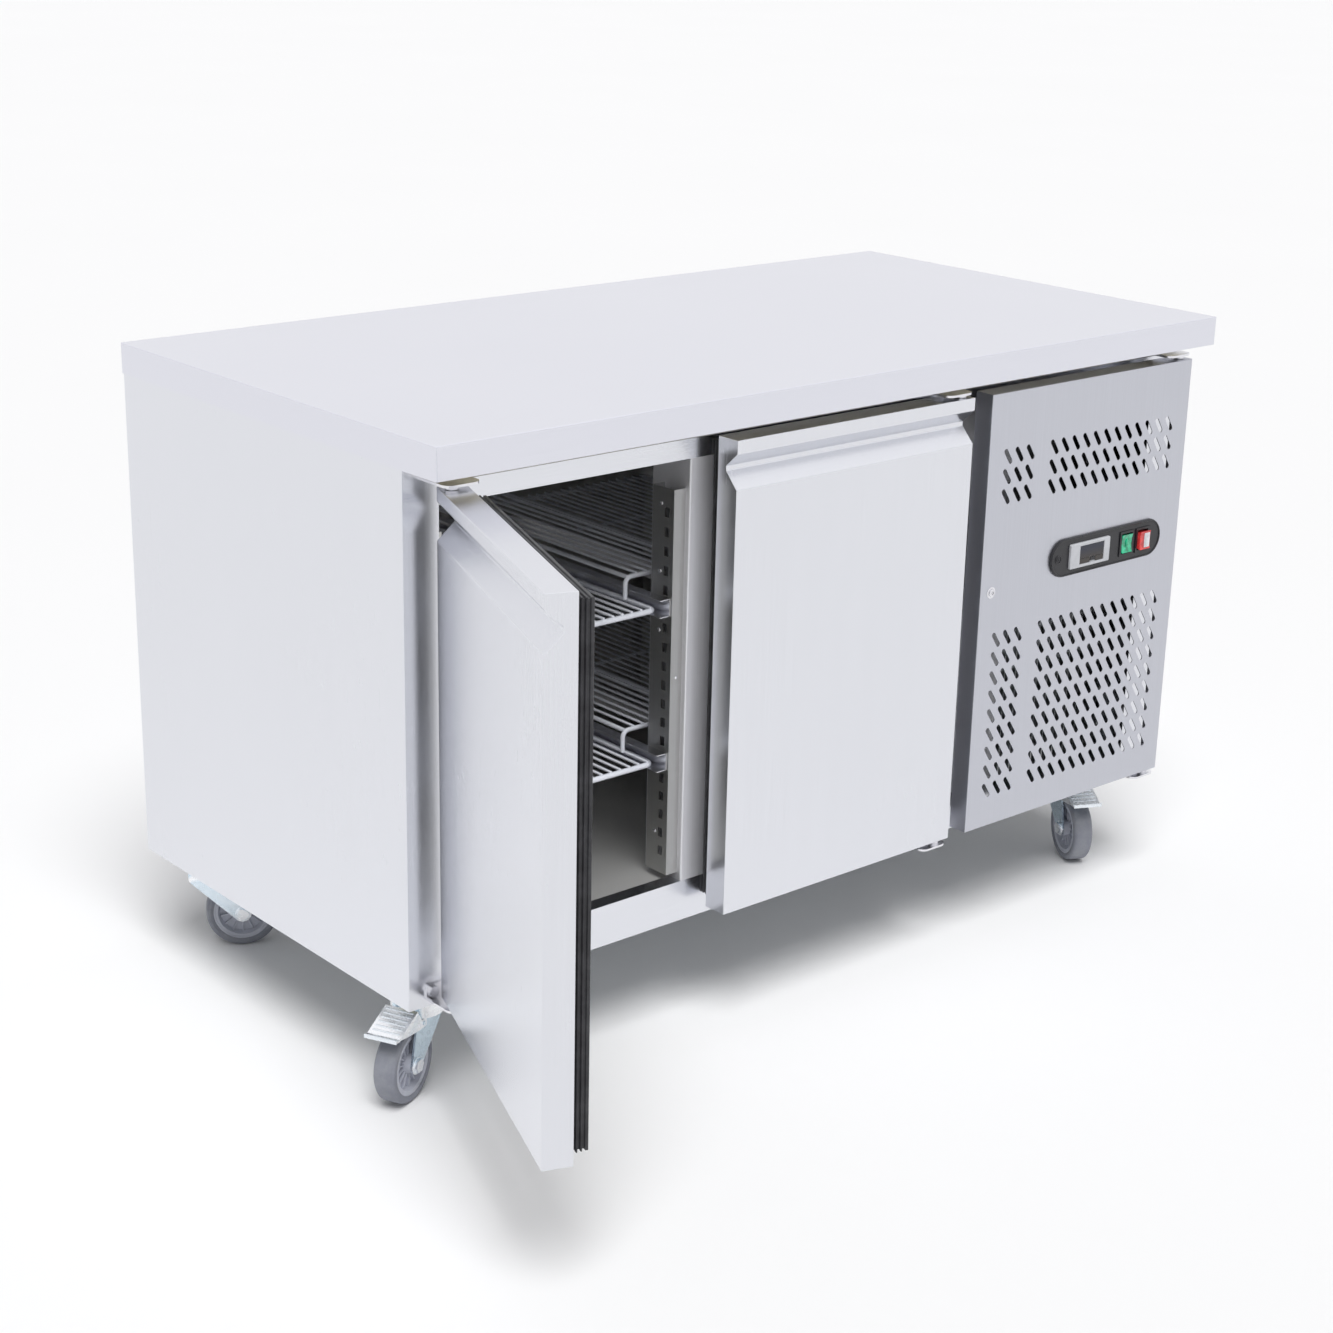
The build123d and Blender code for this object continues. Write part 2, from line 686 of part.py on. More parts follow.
def caster_frame(caster):
    x, y, heading = casters[caster]
    turn = math.radians(heading)
    return Plane(origin=(x, y, 0), x_dir=(math.cos(turn), math.sin(turn), 0), z_dir=(0, 0, 1))


def side_plane(frame_, along_y):
    """A plane across the wheel, its X along the trail and its Y up."""
    origin = frame_.from_local_coords((0, along_y, 0))
    return Plane(origin=origin, x_dir=frame_.x_dir, z_dir=-frame_.y_dir)


def swivel_fork(caster, braked):
    frame_ = caster_frame(caster)
    with BuildPart() as fork:
        rod(frame_, (0, 0), cup_radius, cup_z)
        rod(frame_, (0, 0), 24.5, (crown_z[1] + 2.0, cup_z[1]), Mode.SUBTRACT)
        block((-34.0, 35.0), (-fork_half - leg_sheet, fork_half + leg_sheet), crown_z, frame=frame_)
        for y in (-fork_half, fork_half + leg_sheet):
            with BuildSketch(side_plane(frame_, y)):
                with Locations((-26.0, crown_z[1] - 8.0), (27.0, crown_z[1] - 8.0)):
                    Circle(8.0)
                with Locations((swivel_offset, wheel_radius)):
                    Circle(12.0)
                make_hull()
            extrude(amount=leg_sheet)
        with BuildSketch(side_plane(frame_, axle_end)):
            with Locations((swivel_offset, wheel_radius)):
                Circle(axle_radius)
        extrude(amount=2 * axle_end)
        for y in (-fork_half - leg_sheet, axle_end):
            with BuildSketch(side_plane(frame_, y)):
                with Locations((swivel_offset, wheel_radius)):
                    RegularPolygon(8.0, 6, major_radius=False)
            extrude(amount=axle_end - fork_half - leg_sheet)
        if braked:
            with BuildSketch(side_plane(frame_, fork_half + leg_sheet + 4.0)):
                with Locations(pedal_pivot):
                    Circle(3.0)
            extrude(amount=4.0)
            with BuildSketch(side_plane(frame_, -fork_half - leg_sheet)):
                with Locations(pedal_pivot):
                    Circle(3.0)
            extrude(amount=4.0)
    return fork


def wheel_profile(caster, points):
    """Turn a profile of (radius, across) points about the wheel's axle."""
    frame_ = caster_frame(caster)
    centre = frame_.from_local_coords((swivel_offset, 0, wheel_radius))
    section = Plane(origin=centre, x_dir=(0, 0, 1), z_dir=frame_.x_dir)
    with BuildPart() as turned:
        with BuildSketch(section):
            with BuildLine():
                Polyline(*points, close=True)
            make_face()
        revolve(axis=Axis(centre, frame_.y_dir))
    return turned


hub_rim = 40.0
rim_half = 13.0
web_half = 4.5
boss_half = 16.4
hub_points = (
    (axle_radius + running_gap, -boss_half),
    (11.0, -boss_half),
    (13.0, -web_half),
    (31.0, -web_half),
    (34.0, -rim_half),
    (hub_rim, -rim_half),
    (hub_rim, rim_half),
    (34.0, rim_half),
    (31.0, web_half),
    (13.0, web_half),
    (11.0, boss_half),
    (axle_radius + running_gap, boss_half),
)
half_tread = wheel_width / 2
tyre_points = (
    (hub_rim, -rim_half - 1.0),
    (44.0, -half_tread),
    (47.5, -half_tread + 0.8),
    (49.4, -half_tread + 3.0),
    (wheel_radius, -half_tread + 6.5),
    (wheel_radius, half_tread - 6.5),
    (49.4, half_tread - 3.0),
    (47.5, half_tread - 0.8),
    (44.0, half_tread),
    (hub_rim, rim_half + 1.0),
)


def brake_pedal(caster):
    """A pressed foot plate on two arms, pivoted on the fork above the tyre."""
    frame_ = caster_frame(caster)
    arm_low = fork_half + leg_sheet + 0.5
    arm_high = arm_low + 2.2
    tread_outline = (
        (38.5, 121.0),
        (84.0, 103.5),
        (92.0, 104.5),
        (92.0, 107.0),
        (84.0, 106.2),
        (39.5, 123.6),
        (38.5, 123.6),
    )
    arm_outline = (
        (38.5, 122.0),
        (84.0, 104.5),
        (60.0, 100.0),
        (34.0, 96.5),
        (18.0, 96.5),
        (18.0, 107.0),
        (29.0, 107.0),
    )
    with BuildPart() as pedal:
        with BuildSketch(side_plane(frame_, arm_high)):
            with BuildLine():
                Polyline(*tread_outline, close=True)
            make_face()
        extrude(amount=2 * arm_high)
        for y in (arm_high, -arm_low):
            with BuildSketch(side_plane(frame_, y)):
                with BuildLine():
                    Polyline(*arm_outline, close=True)
                make_face()
                with Locations(pedal_pivot):
                    Circle(3.0 + running_gap, mode=Mode.SUBTRACT)
            extrude(amount=arm_high - arm_low)
    return pedal


for caster in casters:
    braked = caster.startswith("front")
    write(swivel_fork(caster, braked), f"{caster}_fork")
    write(wheel_profile(caster, hub_points), f"{caster}_hub")
    write(wheel_profile(caster, tyre_points), f"{caster}_tyre")
    if braked:
        write(brake_pedal(caster), f"{caster}_pedal")


# ------------------------------------------------------------ doors
grip_drop = 17.0  # plain strip above the finger channel
channel_depth = 20.0
channel_top = door_top - grip_drop
channel_low = 730.0
core_wall = 1.0
window_inset = 26.0  # inner panel, in from the door's edges


def door_frame(hinge_x, opening):
    """The hinge axis, with X along the door when it stands open by that angle."""
    turn = math.radians(opening)
    return Plane(origin=(hinge_x, hinge_y, 0), x_dir=(math.cos(turn), math.sin(turn), 0), z_dir=(0, 0, 1))


def door_outline(inset):
    """The door's section: a slab with a bevelled finger channel along the top."""
    channel_face = door_face + channel_depth + inset
    return (
        (door_face + inset, door_bottom + inset),
        (door_back - inset, door_bottom + inset),
        (door_back - inset, door_top - inset),
        (door_face + inset, door_top - inset),
        (door_face + inset, channel_top + inset * 0.6),
        (channel_face, channel_top - 18.0 + inset * 0.4),
        (channel_face, channel_top - 24.0 - inset * 0.4),
        (door_face + inset, channel_low - inset * 0.4),
    )


outer_bends = (1.2, 0.6, 0.6, 1.2, 5.0, 3.0, 3.0, 2.0)
inner_bends = (0, 0, 0, 0, 4.0, 4.0, 4.0, 1.0)


def section_plane(frame_, along):
    """Square to the door's X: its own X is the door's depth and its Y is up."""
    origin = frame_.from_local_coords((along, 0, 0))
    return Plane(origin=origin, x_dir=frame_.y_dir, z_dir=frame_.x_dir)


def pin_holes(frame_, radius):
    for z in ((door_top - pin_reach - 1.0, door_top), (door_bottom, door_bottom + pin_reach + 1.0)):
        rod(frame_, (0, 0), radius, z, Mode.SUBTRACT)


def door(side, frame_, x):
    """Skin, foam, inner panel and gasket of one door; x is its reach each way from the hinge."""
    back_skin = (door_back - core_wall, door_back)
    window_x = (x[0] + window_inset, x[1] - window_inset)
    window_z = (door_bottom + window_inset, door_top - window_inset)

    with BuildPart() as skin:
        with BuildSketch(section_plane(frame_, x[0])):
            with BuildLine():
                FilletPolyline(*door_outline(0.0), radius=outer_bends, close=True)
            make_face()
        extrude(amount=x[1] - x[0])
        ends = skin.faces().sort_by(lambda f: frame_.to_local_coords(f.center()).X)
        chamfer(ends[0].edges() + ends[-1].edges(), 0.4)
        with BuildSketch(section_plane(frame_, x[0] + core_wall)):
            with BuildLine():
                FilletPolyline(*door_outline(core_wall), radius=inner_bends, close=True)
            make_face()
        extrude(amount=x[1] - x[0] - 2 * core_wall, mode=Mode.SUBTRACT)
        block(window_x, back_skin, window_z, Mode.SUBTRACT, frame_)
        pin_holes(frame_, pin_bore)
    write(skin, f"{side}_door_skin")

    with BuildPart() as core:
        with BuildSketch(section_plane(frame_, x[0] + core_wall)):
            with BuildLine():
                FilletPolyline(*door_outline(core_wall), radius=inner_bends, close=True)
            make_face()
        extrude(amount=x[1] - x[0] - 2 * core_wall)
        pin_holes(frame_, pin_radius + 1.0)
    write(core, f"{side}_door_core")

    dam = 22.0
    with BuildPart() as inner_panel:
        block(window_x, back_skin, window_z, frame=frame_)
        block(
            (window_x[0] + dam, window_x[1] - dam),
            (door_back, door_back + 9.0),
            (window_z[0] + dam, window_z[1] - dam),
            frame=frame_,
        )
        raised = inner_panel.faces().filter_by(lambda f: f.area > 60000).sort_by(
            lambda f: frame_.to_local_coords(f.center()).Y
        )[-1]
        chamfer(raised.edges(), 6.0)
    write(inner_panel, f"{side}_door_inner_panel")

    with BuildPart() as gasket:
        outer_x = (x[0] + gasket_inset, x[1] - gasket_inset)
        outer_z = (door_bottom + gasket_inset, door_top - gasket_inset)
        lips = (
            (door_back, door_back + 3.0, 22.0),
            (door_back + 3.0, door_back + 6.0, 16.0),
            (door_back + 6.0, door_back + 9.5, 20.0),
            (door_back + 9.5, door_back + 12.5, 16.0),
            (door_back + 12.5, gasket_back, 19.0),
        )
        for y0, y1, reach in lips:
            grow = (reach - 22.0) / 2
            lip_x = (outer_x[0] - grow, outer_x[1] + grow)
            lip_z = (outer_z[0] - grow, outer_z[1] + grow)
            block(lip_x, (y0, y1), lip_z, frame=frame_)
        hole = 22.0
        block(
            (outer_x[0] + hole, outer_x[1] - hole),
            (door_back, gasket_back),
            (outer_z[0] + hole, outer_z[1] - hole),
            Mode.SUBTRACT,
            frame_,
        )
    write(gasket, f"{side}_door_gasket")


door("left", door_frame(left_hinge_x, -left_door_opening), (-hinge_inset, door_width - hinge_inset))
door("right", door_frame(right_hinge_x, 0.0), (hinge_inset - door_width, hinge_inset))

# ------------------------------------------------------------ service panel and controls
panel_right = panel_hinge_x + hinge_inset
slot_size = (25.0, 7.2)
slot_tilt = -56.0
slot_spacing = (22.4, 27.9)
slot_columns = ((287.0, 3), (482.0, 12))  # centre and count of each block of columns
slot_rows = ((674.5, 3), (331.5, 9))  # centre height and count of each block of rows
control_centre = (484.0, 538.5)
control_size = (238.0, 55.0)
thermostat_x = -39.0  # from the centre of the control plate
thermostat_size = (84.0, 36.0)
green_x = 43.0
red_x = 78.0
rocker_size = (22.0, 29.0)
key_size = (10.0, 5.0)
key_x = thermostat_x + 6.0

with BuildPart() as service_panel:
    block((panel_left, panel_right), (door_front, door_front + panel_depth), (panel_bottom, panel_top))
    fillet(service_panel.faces().sort_by(Axis.Y)[0].edges(), 1.5)
    block(
        (panel_left + sheet, panel_right - sheet),
        (door_front + sheet, door_front + panel_depth),
        (panel_bottom + sheet, panel_top - sheet),
        Mode.SUBTRACT,
    )
    pin_block_x = (panel_right - 26.0, panel_right - sheet)
    pin_block_y = (door_front + 5.0, door_front + 23.0)
    block(pin_block_x, pin_block_y, (panel_top - 22.0, panel_top - sheet))
    block(pin_block_x, pin_block_y, (panel_bottom + sheet, panel_bottom + 22.0))
    with BuildSketch(facing_front(door_front)):
        for column_x, columns in slot_columns:
            for row_z, rows in slot_rows:
                with Locations((column_x, row_z)):
                    with GridLocations(*slot_spacing, columns, rows):
                        SlotOverall(*slot_size, rotation=slot_tilt)
        with Locations(control_centre):
            SlotOverall(control_size[0] - 8.0, control_size[1] - 8.0)
    extrude(amount=2 * sheet, both=True, mode=Mode.SUBTRACT)
    pin_axis = Plane(origin=(panel_hinge_x, hinge_y, 0), z_dir=(0, 0, 1))
    rod(pin_axis, (0, 0), pin_bore, (panel_top - pin_reach - 1.0, panel_top), Mode.SUBTRACT)
    rod(pin_axis, (0, 0), pin_bore, (panel_bottom, panel_bottom + pin_reach + 1.0), Mode.SUBTRACT)
write(service_panel, "service_panel")

control_plane = Plane(
    origin=(control_centre[0], door_front, control_centre[1]), x_dir=(1, 0, 0), z_dir=(0, -1, 0)
)
cavity_gap = 0.3
with BuildPart() as control_plate:
    with BuildSketch(control_plane):
        SlotOverall(*control_size)
    extrude(amount=3.0)
    fillet(control_plate.faces().sort_by(Axis.Y)[0].edges(), 1.2)
    with BuildSketch(control_plane):
        SlotOverall(control_size[0] - 8.4, control_size[1] - 8.4)
    extrude(amount=-26.0)
    with BuildSketch(control_plane.offset(3.0)):
        with Locations((green_x, 0), (red_x, 0)):
            Rectangle(rocker_size[0] + 8.0, rocker_size[1] + 7.0)
    extrude(amount=1.6)
    with BuildSketch(control_plane.offset(4.6)):
        with Locations((green_x, 0), (red_x, 0)):
            Rectangle(rocker_size[0] + 2 * cavity_gap, rocker_size[1] + 2 * cavity_gap)
    extrude(amount=-24.0, mode=Mode.SUBTRACT)
    with BuildSketch(control_plane.offset(4.6)):
        with Locations((thermostat_x, 0)):
            Rectangle(thermostat_size[0] - 8.0, thermostat_size[1] - 7.0)
    extrude(amount=-32.0, mode=Mode.SUBTRACT)
write(control_plate, "control_plate")

window_size = (52.0, 27.0)
window_x = thermostat_x + 3.0
with BuildPart() as thermostat_case:
    with BuildSketch(control_plane.offset(3.0)):
        with Locations((thermostat_x, 0)):
            RectangleRounded(*thermostat_size, 2.0)
    extrude(amount=4.0)
    chamfer(thermostat_case.faces().sort_by(Axis.Y)[0].edges(), 1.0)
    with BuildSketch(control_plane.offset(3.0)):
        with Locations((thermostat_x, 0)):
            Rectangle(thermostat_size[0] - 9.0, thermostat_size[1] - 8.0)
    extrude(amount=-62.0)
    with BuildSketch(control_plane.offset(7.0)):
        with Locations((window_x, 0)):
            Rectangle(*window_size)
    extrude(amount=-1.6, mode=Mode.SUBTRACT)
    with BuildSketch(control_plane.offset(7.0)):
        with Locations((key_x, -9.0)):
            Rectangle(key_size[0] + 2 * cavity_gap, key_size[1] + 2 * cavity_gap)
    extrude(amount=-6.0, mode=Mode.SUBTRACT)
write(thermostat_case, "thermostat_case")

with BuildPart() as thermostat_key:
    with BuildSketch(control_plane.offset(3.0)):
        with Locations((key_x, -9.0)):
            Rectangle(*key_size)
    extrude(amount=3.4)
    fillet(thermostat_key.faces().sort_by(Axis.Y)[0].edges(), 0.5)
write(thermostat_key, "thermostat_key")

rocker_pivot_depth = -3.0  # pivot behind the panel's face


def rocker(x, crown, shoulder):
    """A rocker with a dished face; crown is how far its ends stand proud."""
    end_face = control_plane.from_local_coords((x - rocker_size[0] / 2, 0, 0))
    section = Plane(origin=end_face, x_dir=(0, -1, 0), z_dir=(1, 0, 0))
    half = rocker_size[1] / 2 - 1.2
    with BuildPart() as key:
        with BuildSketch(section):
            with BuildLine():
                Line((-9.0, -half + 5.0), (shoulder, -half))
                ThreePointArc((shoulder, -half), (crown, 0.0), (shoulder, half))
                Polyline((shoulder, half), (-9.0, half - 5.0), (-9.0, -half + 5.0))
            make_face()
        extrude(amount=rocker_size[0])
        fillet(key.edges().filter_by(lambda e: e.geom_type == GeomType.CIRCLE), 0.8)
    return key


write(rocker(green_x, 4.6, 6.6), "green_rocker")
write(rocker(red_x, 9.5, 10.5), "red_rocker")
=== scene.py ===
import json
import math

import bmesh
import bpy
from mathutils import Matrix, Vector


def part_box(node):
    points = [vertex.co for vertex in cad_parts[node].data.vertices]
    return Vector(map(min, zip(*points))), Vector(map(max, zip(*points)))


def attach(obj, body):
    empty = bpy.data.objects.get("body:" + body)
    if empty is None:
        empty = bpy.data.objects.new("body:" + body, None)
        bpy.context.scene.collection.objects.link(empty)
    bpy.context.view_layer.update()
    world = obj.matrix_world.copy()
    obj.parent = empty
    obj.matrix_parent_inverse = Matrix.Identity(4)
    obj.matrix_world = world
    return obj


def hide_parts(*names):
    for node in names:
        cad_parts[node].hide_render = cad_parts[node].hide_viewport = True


# Looks for a two-door undercounter refrigerator on casters. Metres; X runs to
# the right, -Y is the front, Z is up, and the origin is on the floor.

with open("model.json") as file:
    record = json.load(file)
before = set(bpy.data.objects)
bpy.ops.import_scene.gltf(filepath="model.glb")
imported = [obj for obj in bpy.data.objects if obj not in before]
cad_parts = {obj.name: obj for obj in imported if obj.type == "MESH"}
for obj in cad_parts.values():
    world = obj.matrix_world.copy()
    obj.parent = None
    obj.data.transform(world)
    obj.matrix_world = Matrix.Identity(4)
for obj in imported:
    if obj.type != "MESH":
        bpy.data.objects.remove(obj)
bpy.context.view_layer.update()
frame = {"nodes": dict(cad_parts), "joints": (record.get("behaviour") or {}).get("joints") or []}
nodes = frame["nodes"]
joints = {joint["name"]: joint for joint in frame["joints"]}
MM = 0.001


# ------------------------------------------------------------ material tools
class Shader:
    """A Principled material and the node calls that its patterns are made of."""

    def __init__(self, name):
        self.material = bpy.data.materials.new(name)
        self.material.use_nodes = True
        self.tree = self.material.node_tree
        self.tree.nodes.clear()
        self.bsdf = self.tree.nodes.new("ShaderNodeBsdfPrincipled")
        output = self.tree.nodes.new("ShaderNodeOutputMaterial")
        self.tree.links.new(self.bsdf.outputs["BSDF"], output.inputs["Surface"])
        self.place = self.tree.nodes.new("ShaderNodeTexCoord").outputs["Object"]
        self.height = None

    def node(self, kind, **inputs):
        made = self.tree.nodes.new(kind)
        for key, value in inputs.items():
            self.feed(made.inputs[key.replace("_", " ")], value)
        return made

    def feed(self, socket, value):
        if isinstance(value, bpy.types.NodeSocket):
            self.tree.links.new(value, socket)
        else:
            socket.default_value = value

    def set(self, **inputs):
        for key, value in inputs.items():
            self.feed(self.bsdf.inputs[key.replace("_", " ")], value)

    def stretched(self, scale):
        return self.node("ShaderNodeMapping", Vector=self.place, Scale=scale).outputs["Vector"]

    def noise(self, scale, detail=3.0, roughness=0.55, stretch=None):
        vector = self.stretched(stretch) if stretch else self.place
        made = self.node(
            "ShaderNodeTexNoise", Vector=vector, Scale=scale, Detail=detail, Roughness=roughness
        )
        return made.outputs["Fac"]

    def cells(self, scale, stretch=None):
        vector = self.stretched(stretch) if stretch else self.place
        made = self.node("ShaderNodeTexVoronoi", Vector=vector, Scale=scale)
        return made.outputs["Distance"]

    def remap(self, value, low, high, to_low, to_high):
        made = self.node("ShaderNodeMapRange", Value=value)
        for key, number in (("From Min", low), ("From Max", high), ("To Min", to_low), ("To Max", to_high)):
            made.inputs[key].default_value = number
        return made.outputs["Result"]

    def math(self, operation, first, second):
        made = self.tree.nodes.new("ShaderNodeMath")
        made.operation = operation
        self.feed(made.inputs[0], first)
        self.feed(made.inputs[1], second)
        return made.outputs["Value"]

    def blend(self, share, first, second):
        made = self.tree.nodes.new("ShaderNodeMix")
        made.data_type = "RGBA"
        self.feed(made.inputs[0], share)
        self.feed(made.inputs[6], (*first, 1.0) if isinstance(first, tuple) else first)
        self.feed(made.inputs[7], (*second, 1.0) if isinstance(second, tuple) else second)
        return made.outputs[2]

    def axis(self, name):
        return self.node("ShaderNodeSeparateXYZ", Vector=self.place).outputs[name]

    def bump(self, height, strength, distance):
        made = self.node("ShaderNodeBump", Height=height, Strength=strength, Distance=distance)
        if self.height:
            self.tree.links.new(self.height, made.inputs["Normal"])
        self.height = made.outputs["Normal"]
        self.feed(self.bsdf.inputs["Normal"], self.height)

    def worn_edges(self):
        """1 at convex corners of the mesh, fading to 0 across the faces beside them."""
        geometry = self.tree.nodes.new("ShaderNodeNewGeometry")
        return self.remap(geometry.outputs["Pointiness"], 0.52, 0.60, 0.0, 1.0)


GRAIN = {"x": (5.0, 1300.0, 1300.0), "y": (1300.0, 5.0, 1300.0), "z": (1300.0, 1300.0, 5.0)}
FINE_GRAIN = {"x": (18.0, 3200.0, 3200.0), "y": (3200.0, 18.0, 3200.0), "z": (3200.0, 3200.0, 18.0)}


SHEET_TINT = (0.76, 0.77, 0.81)


def brushed_steel(name, grain, tint=SHEET_TINT, roughness=0.24, waviness=0.15, metal=1.0):
    """Satin stainless sheet: hairline grain along one axis, faint smears, a slightly uneven surface."""
    s = Shader(name)
    coarse = s.noise(1.0, 2.0, 0.6, GRAIN[grain])
    fine = s.noise(1.0, 2.0, 0.5, FINE_GRAIN[grain])
    lines = s.math("ADD", s.math("MULTIPLY", coarse, 0.6), s.math("MULTIPLY", fine, 0.4))
    smears = s.noise(2.4, 2.0, 0.45)
    spots = s.noise(38.0, 4.0, 0.65)
    darker = tuple(0.955 * c for c in tint)
    lighter = tuple(min(1.0, 1.03 * c) for c in tint)
    base = s.blend(s.remap(lines, 0.32, 0.68, 0.0, 1.0), darker, lighter)
    cloudy = s.blend(s.remap(smears, 0.35, 0.7, 0.0, 0.3), base, tuple(0.965 * c for c in tint))
    s.set(Base_Color=cloudy, Metallic=metal)
    rough = s.math("ADD", roughness - 0.05, s.math("MULTIPLY", lines, 0.10))
    rough = s.math("ADD", rough, s.remap(smears, 0.35, 0.75, 0.0, 0.03))
    rough = s.math("ADD", rough, s.remap(spots, 0.55, 0.8, 0.0, 0.02))
    s.set(Roughness=rough)
    s.bump(lines, 0.05, 0.00004)
    s.bump(s.noise(1.1, 0.0, 0.3), waviness, 0.0014)
    return s.material


def zinc_plate(name):
    """Bright zinc with a bluish passivation, faint spangle and rubbed edges."""
    s = Shader(name)
    mottle = s.noise(95.0, 5.0, 0.62)
    cool = s.blend(s.remap(mottle, 0.35, 0.68, 0.0, 1.0), (0.58, 0.69, 0.77), (0.66, 0.77, 0.85))
    warm = s.blend(s.remap(s.noise(42.0, 3.0, 0.5), 0.60, 0.78, 0.0, 0.18), cool, (0.80, 0.78, 0.66))
    s.set(Base_Color=s.blend(s.worn_edges(), warm, (0.92, 0.93, 0.95)), Metallic=1.0)
    s.set(Roughness=s.remap(mottle, 0.3, 0.75, 0.24, 0.32))
    s.bump(s.noise(520.0, 3.0, 0.6), 0.06, 0.00006)
    return s.material


def galvanised(name):
    """Dull galvanised sheet with its crystal pattern."""
    s = Shader(name)
    crystals = s.cells(85.0)
    tone = s.blend(s.remap(crystals, 0.0, 0.7, 0.0, 1.0), (0.50, 0.53, 0.55), (0.70, 0.72, 0.74))
    s.set(Base_Color=tone, Metallic=1.0, Roughness=s.remap(crystals, 0.0, 0.7, 0.34, 0.50))
    s.bump(crystals, 0.08, 0.0002)
    return s.material


def coated_wire(name):
    """Coated shelf wire: smooth, slightly orange-peeled, a little duller in patches."""
    s = Shader(name)
    peel = s.noise(360.0, 2.0, 0.5)
    dirt = s.noise(24.0, 4.0, 0.6)
    tone = s.blend(s.remap(dirt, 0.35, 0.75, 0.0, 1.0), (0.74, 0.76, 0.82), (0.62, 0.64, 0.70))
    s.set(Base_Color=tone, Roughness=s.remap(peel, 0.3, 0.7, 0.26, 0.40))
    s.set(Coat_Weight=0.35, Coat_Roughness=0.2)
    s.bump(peel, 0.12, 0.0002)
    return s.material


def rubber(name, tone, scuff, roughness=(0.55, 0.8), grain=900.0):
    s = Shader(name)
    fine = s.noise(grain, 3.0, 0.6)
    dust = s.noise(34.0, 5.0, 0.65)
    s.set(Base_Color=s.blend(s.remap(dust, 0.42, 0.78, 0.0, 1.0), tone, scuff))
    s.set(Roughness=s.remap(fine, 0.3, 0.7, *roughness), Specular_IOR_Level=0.4)
    s.bump(fine, 0.2, 0.0001)
    return s.material


def plastic(name, tone, roughness=0.35, texture=1400.0, depth=0.00006, coat=0.0):
    """Moulded plastic with a spark-eroded grain and faint handling marks."""
    s = Shader(name)
    grain = s.noise(texture, 2.0, 0.6)
    marks = s.noise(55.0, 5.0, 0.65)
    lighter = tuple(min(1.0, 1.25 * c + 0.012) for c in tone)
    s.set(Base_Color=s.blend(s.remap(marks, 0.4, 0.8, 0.0, 0.7), tone, lighter))
    s.set(Roughness=s.remap(marks, 0.3, 0.8, roughness - 0.05, roughness + 0.12))
    s.set(Coat_Weight=coat, Coat_Roughness=0.08)
    s.bump(grain, 0.25, depth)
    return s.material


def lit_plastic(name, tone, deep, painted_glow):
    """Translucent coloured rocker: colour varies in random patches between a deep and a lighter tone, and an
    emission adds a painted glow for light passing through the plastic.
    """
    s = Shader(name)
    tone_patches = s.noise(130.0, 3.0, 0.5)
    colour = s.blend(s.remap(tone_patches, 0.35, 0.7, 0.0, 1.0), deep, tone)
    s.set(Base_Color=colour, Roughness=s.remap(tone_patches, 0.3, 0.7, 0.10, 0.20))
    s.set(Coat_Weight=0.6, Coat_Roughness=0.05)
    # Painted glow: the emission stands in for light passing through the translucent plastic; no lamp is
    # drawn.
    s.set(Emission_Color=colour, Emission_Strength=painted_glow, IOR=1.49)
    s.bump(s.noise(900.0, 2.0, 0.5), 0.05, 0.00005)
    return s.material


def foam(name):
    s = Shader(name)
    pores = s.cells(700.0)
    s.set(Base_Color=s.blend(s.remap(pores, 0.0, 0.6, 0.0, 1.0), (0.62, 0.55, 0.36), (0.86, 0.80, 0.60)))
    s.set(Roughness=0.9)
    s.bump(pores, 0.6, 0.0006)
    return s.material


def copper(name):
    s = Shader(name)
    tarnish = s.noise(60.0, 5.0, 0.65)
    s.set(Base_Color=s.blend(s.remap(tarnish, 0.4, 0.72, 0.0, 1.0), (0.86, 0.48, 0.32), (0.40, 0.22, 0.15)))
    s.set(Metallic=1.0, Roughness=s.remap(tarnish, 0.35, 0.75, 0.22, 0.5))
    s.bump(s.noise(300.0, 2.0, 0.5), 0.1, 0.0001)
    return s.material


def aluminium(name):
    s = Shader(name)
    rolled = s.noise(1.0, 3.0, 0.6, (900.0, 900.0, 30.0))
    s.set(Base_Color=s.blend(s.remap(rolled, 0.3, 0.7, 0.0, 1.0), (0.66, 0.68, 0.70), (0.86, 0.87, 0.88)))
    s.set(Metallic=1.0, Roughness=s.remap(rolled, 0.3, 0.7, 0.25, 0.42))
    s.bump(rolled, 0.15, 0.0001)
    return s.material


def black_enamel(name):
    s = Shader(name)
    peel = s.noise(210.0, 3.0, 0.55)
    dust = s.noise(17.0, 5.0, 0.7)
    s.set(Base_Color=s.blend(s.remap(dust, 0.45, 0.8, 0.0, 0.5), (0.012, 0.012, 0.013), (0.10, 0.095, 0.09)))
    s.set(Roughness=s.remap(peel, 0.3, 0.7, 0.16, 0.30), Coat_Weight=0.5, Coat_Roughness=0.15)
    s.bump(peel, 0.2, 0.0004)
    return s.material


def dark_glass(name):
    """The thermostat's smoked window, faintly blue above and brown below."""
    s = Shader(name)
    low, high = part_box("thermostat_case")
    middle = (low.z + high.z) / 2
    level = s.remap(s.axis("Z"), middle - 0.006, middle + 0.008, 0.0, 1.0)
    haze = s.noise(160.0, 3.0, 0.5)
    tone = s.blend(level, (0.030, 0.023, 0.018), (0.008, 0.011, 0.030))
    s.set(Base_Color=s.blend(s.remap(haze, 0.4, 0.8, 0.0, 0.4), tone, (0.02, 0.024, 0.034)))
    s.set(Roughness=s.remap(haze, 0.3, 0.8, 0.04, 0.12), Coat_Weight=0.1, Coat_Roughness=0.03)
    s.bump(haze, 0.03, 0.0001)
    return s.material


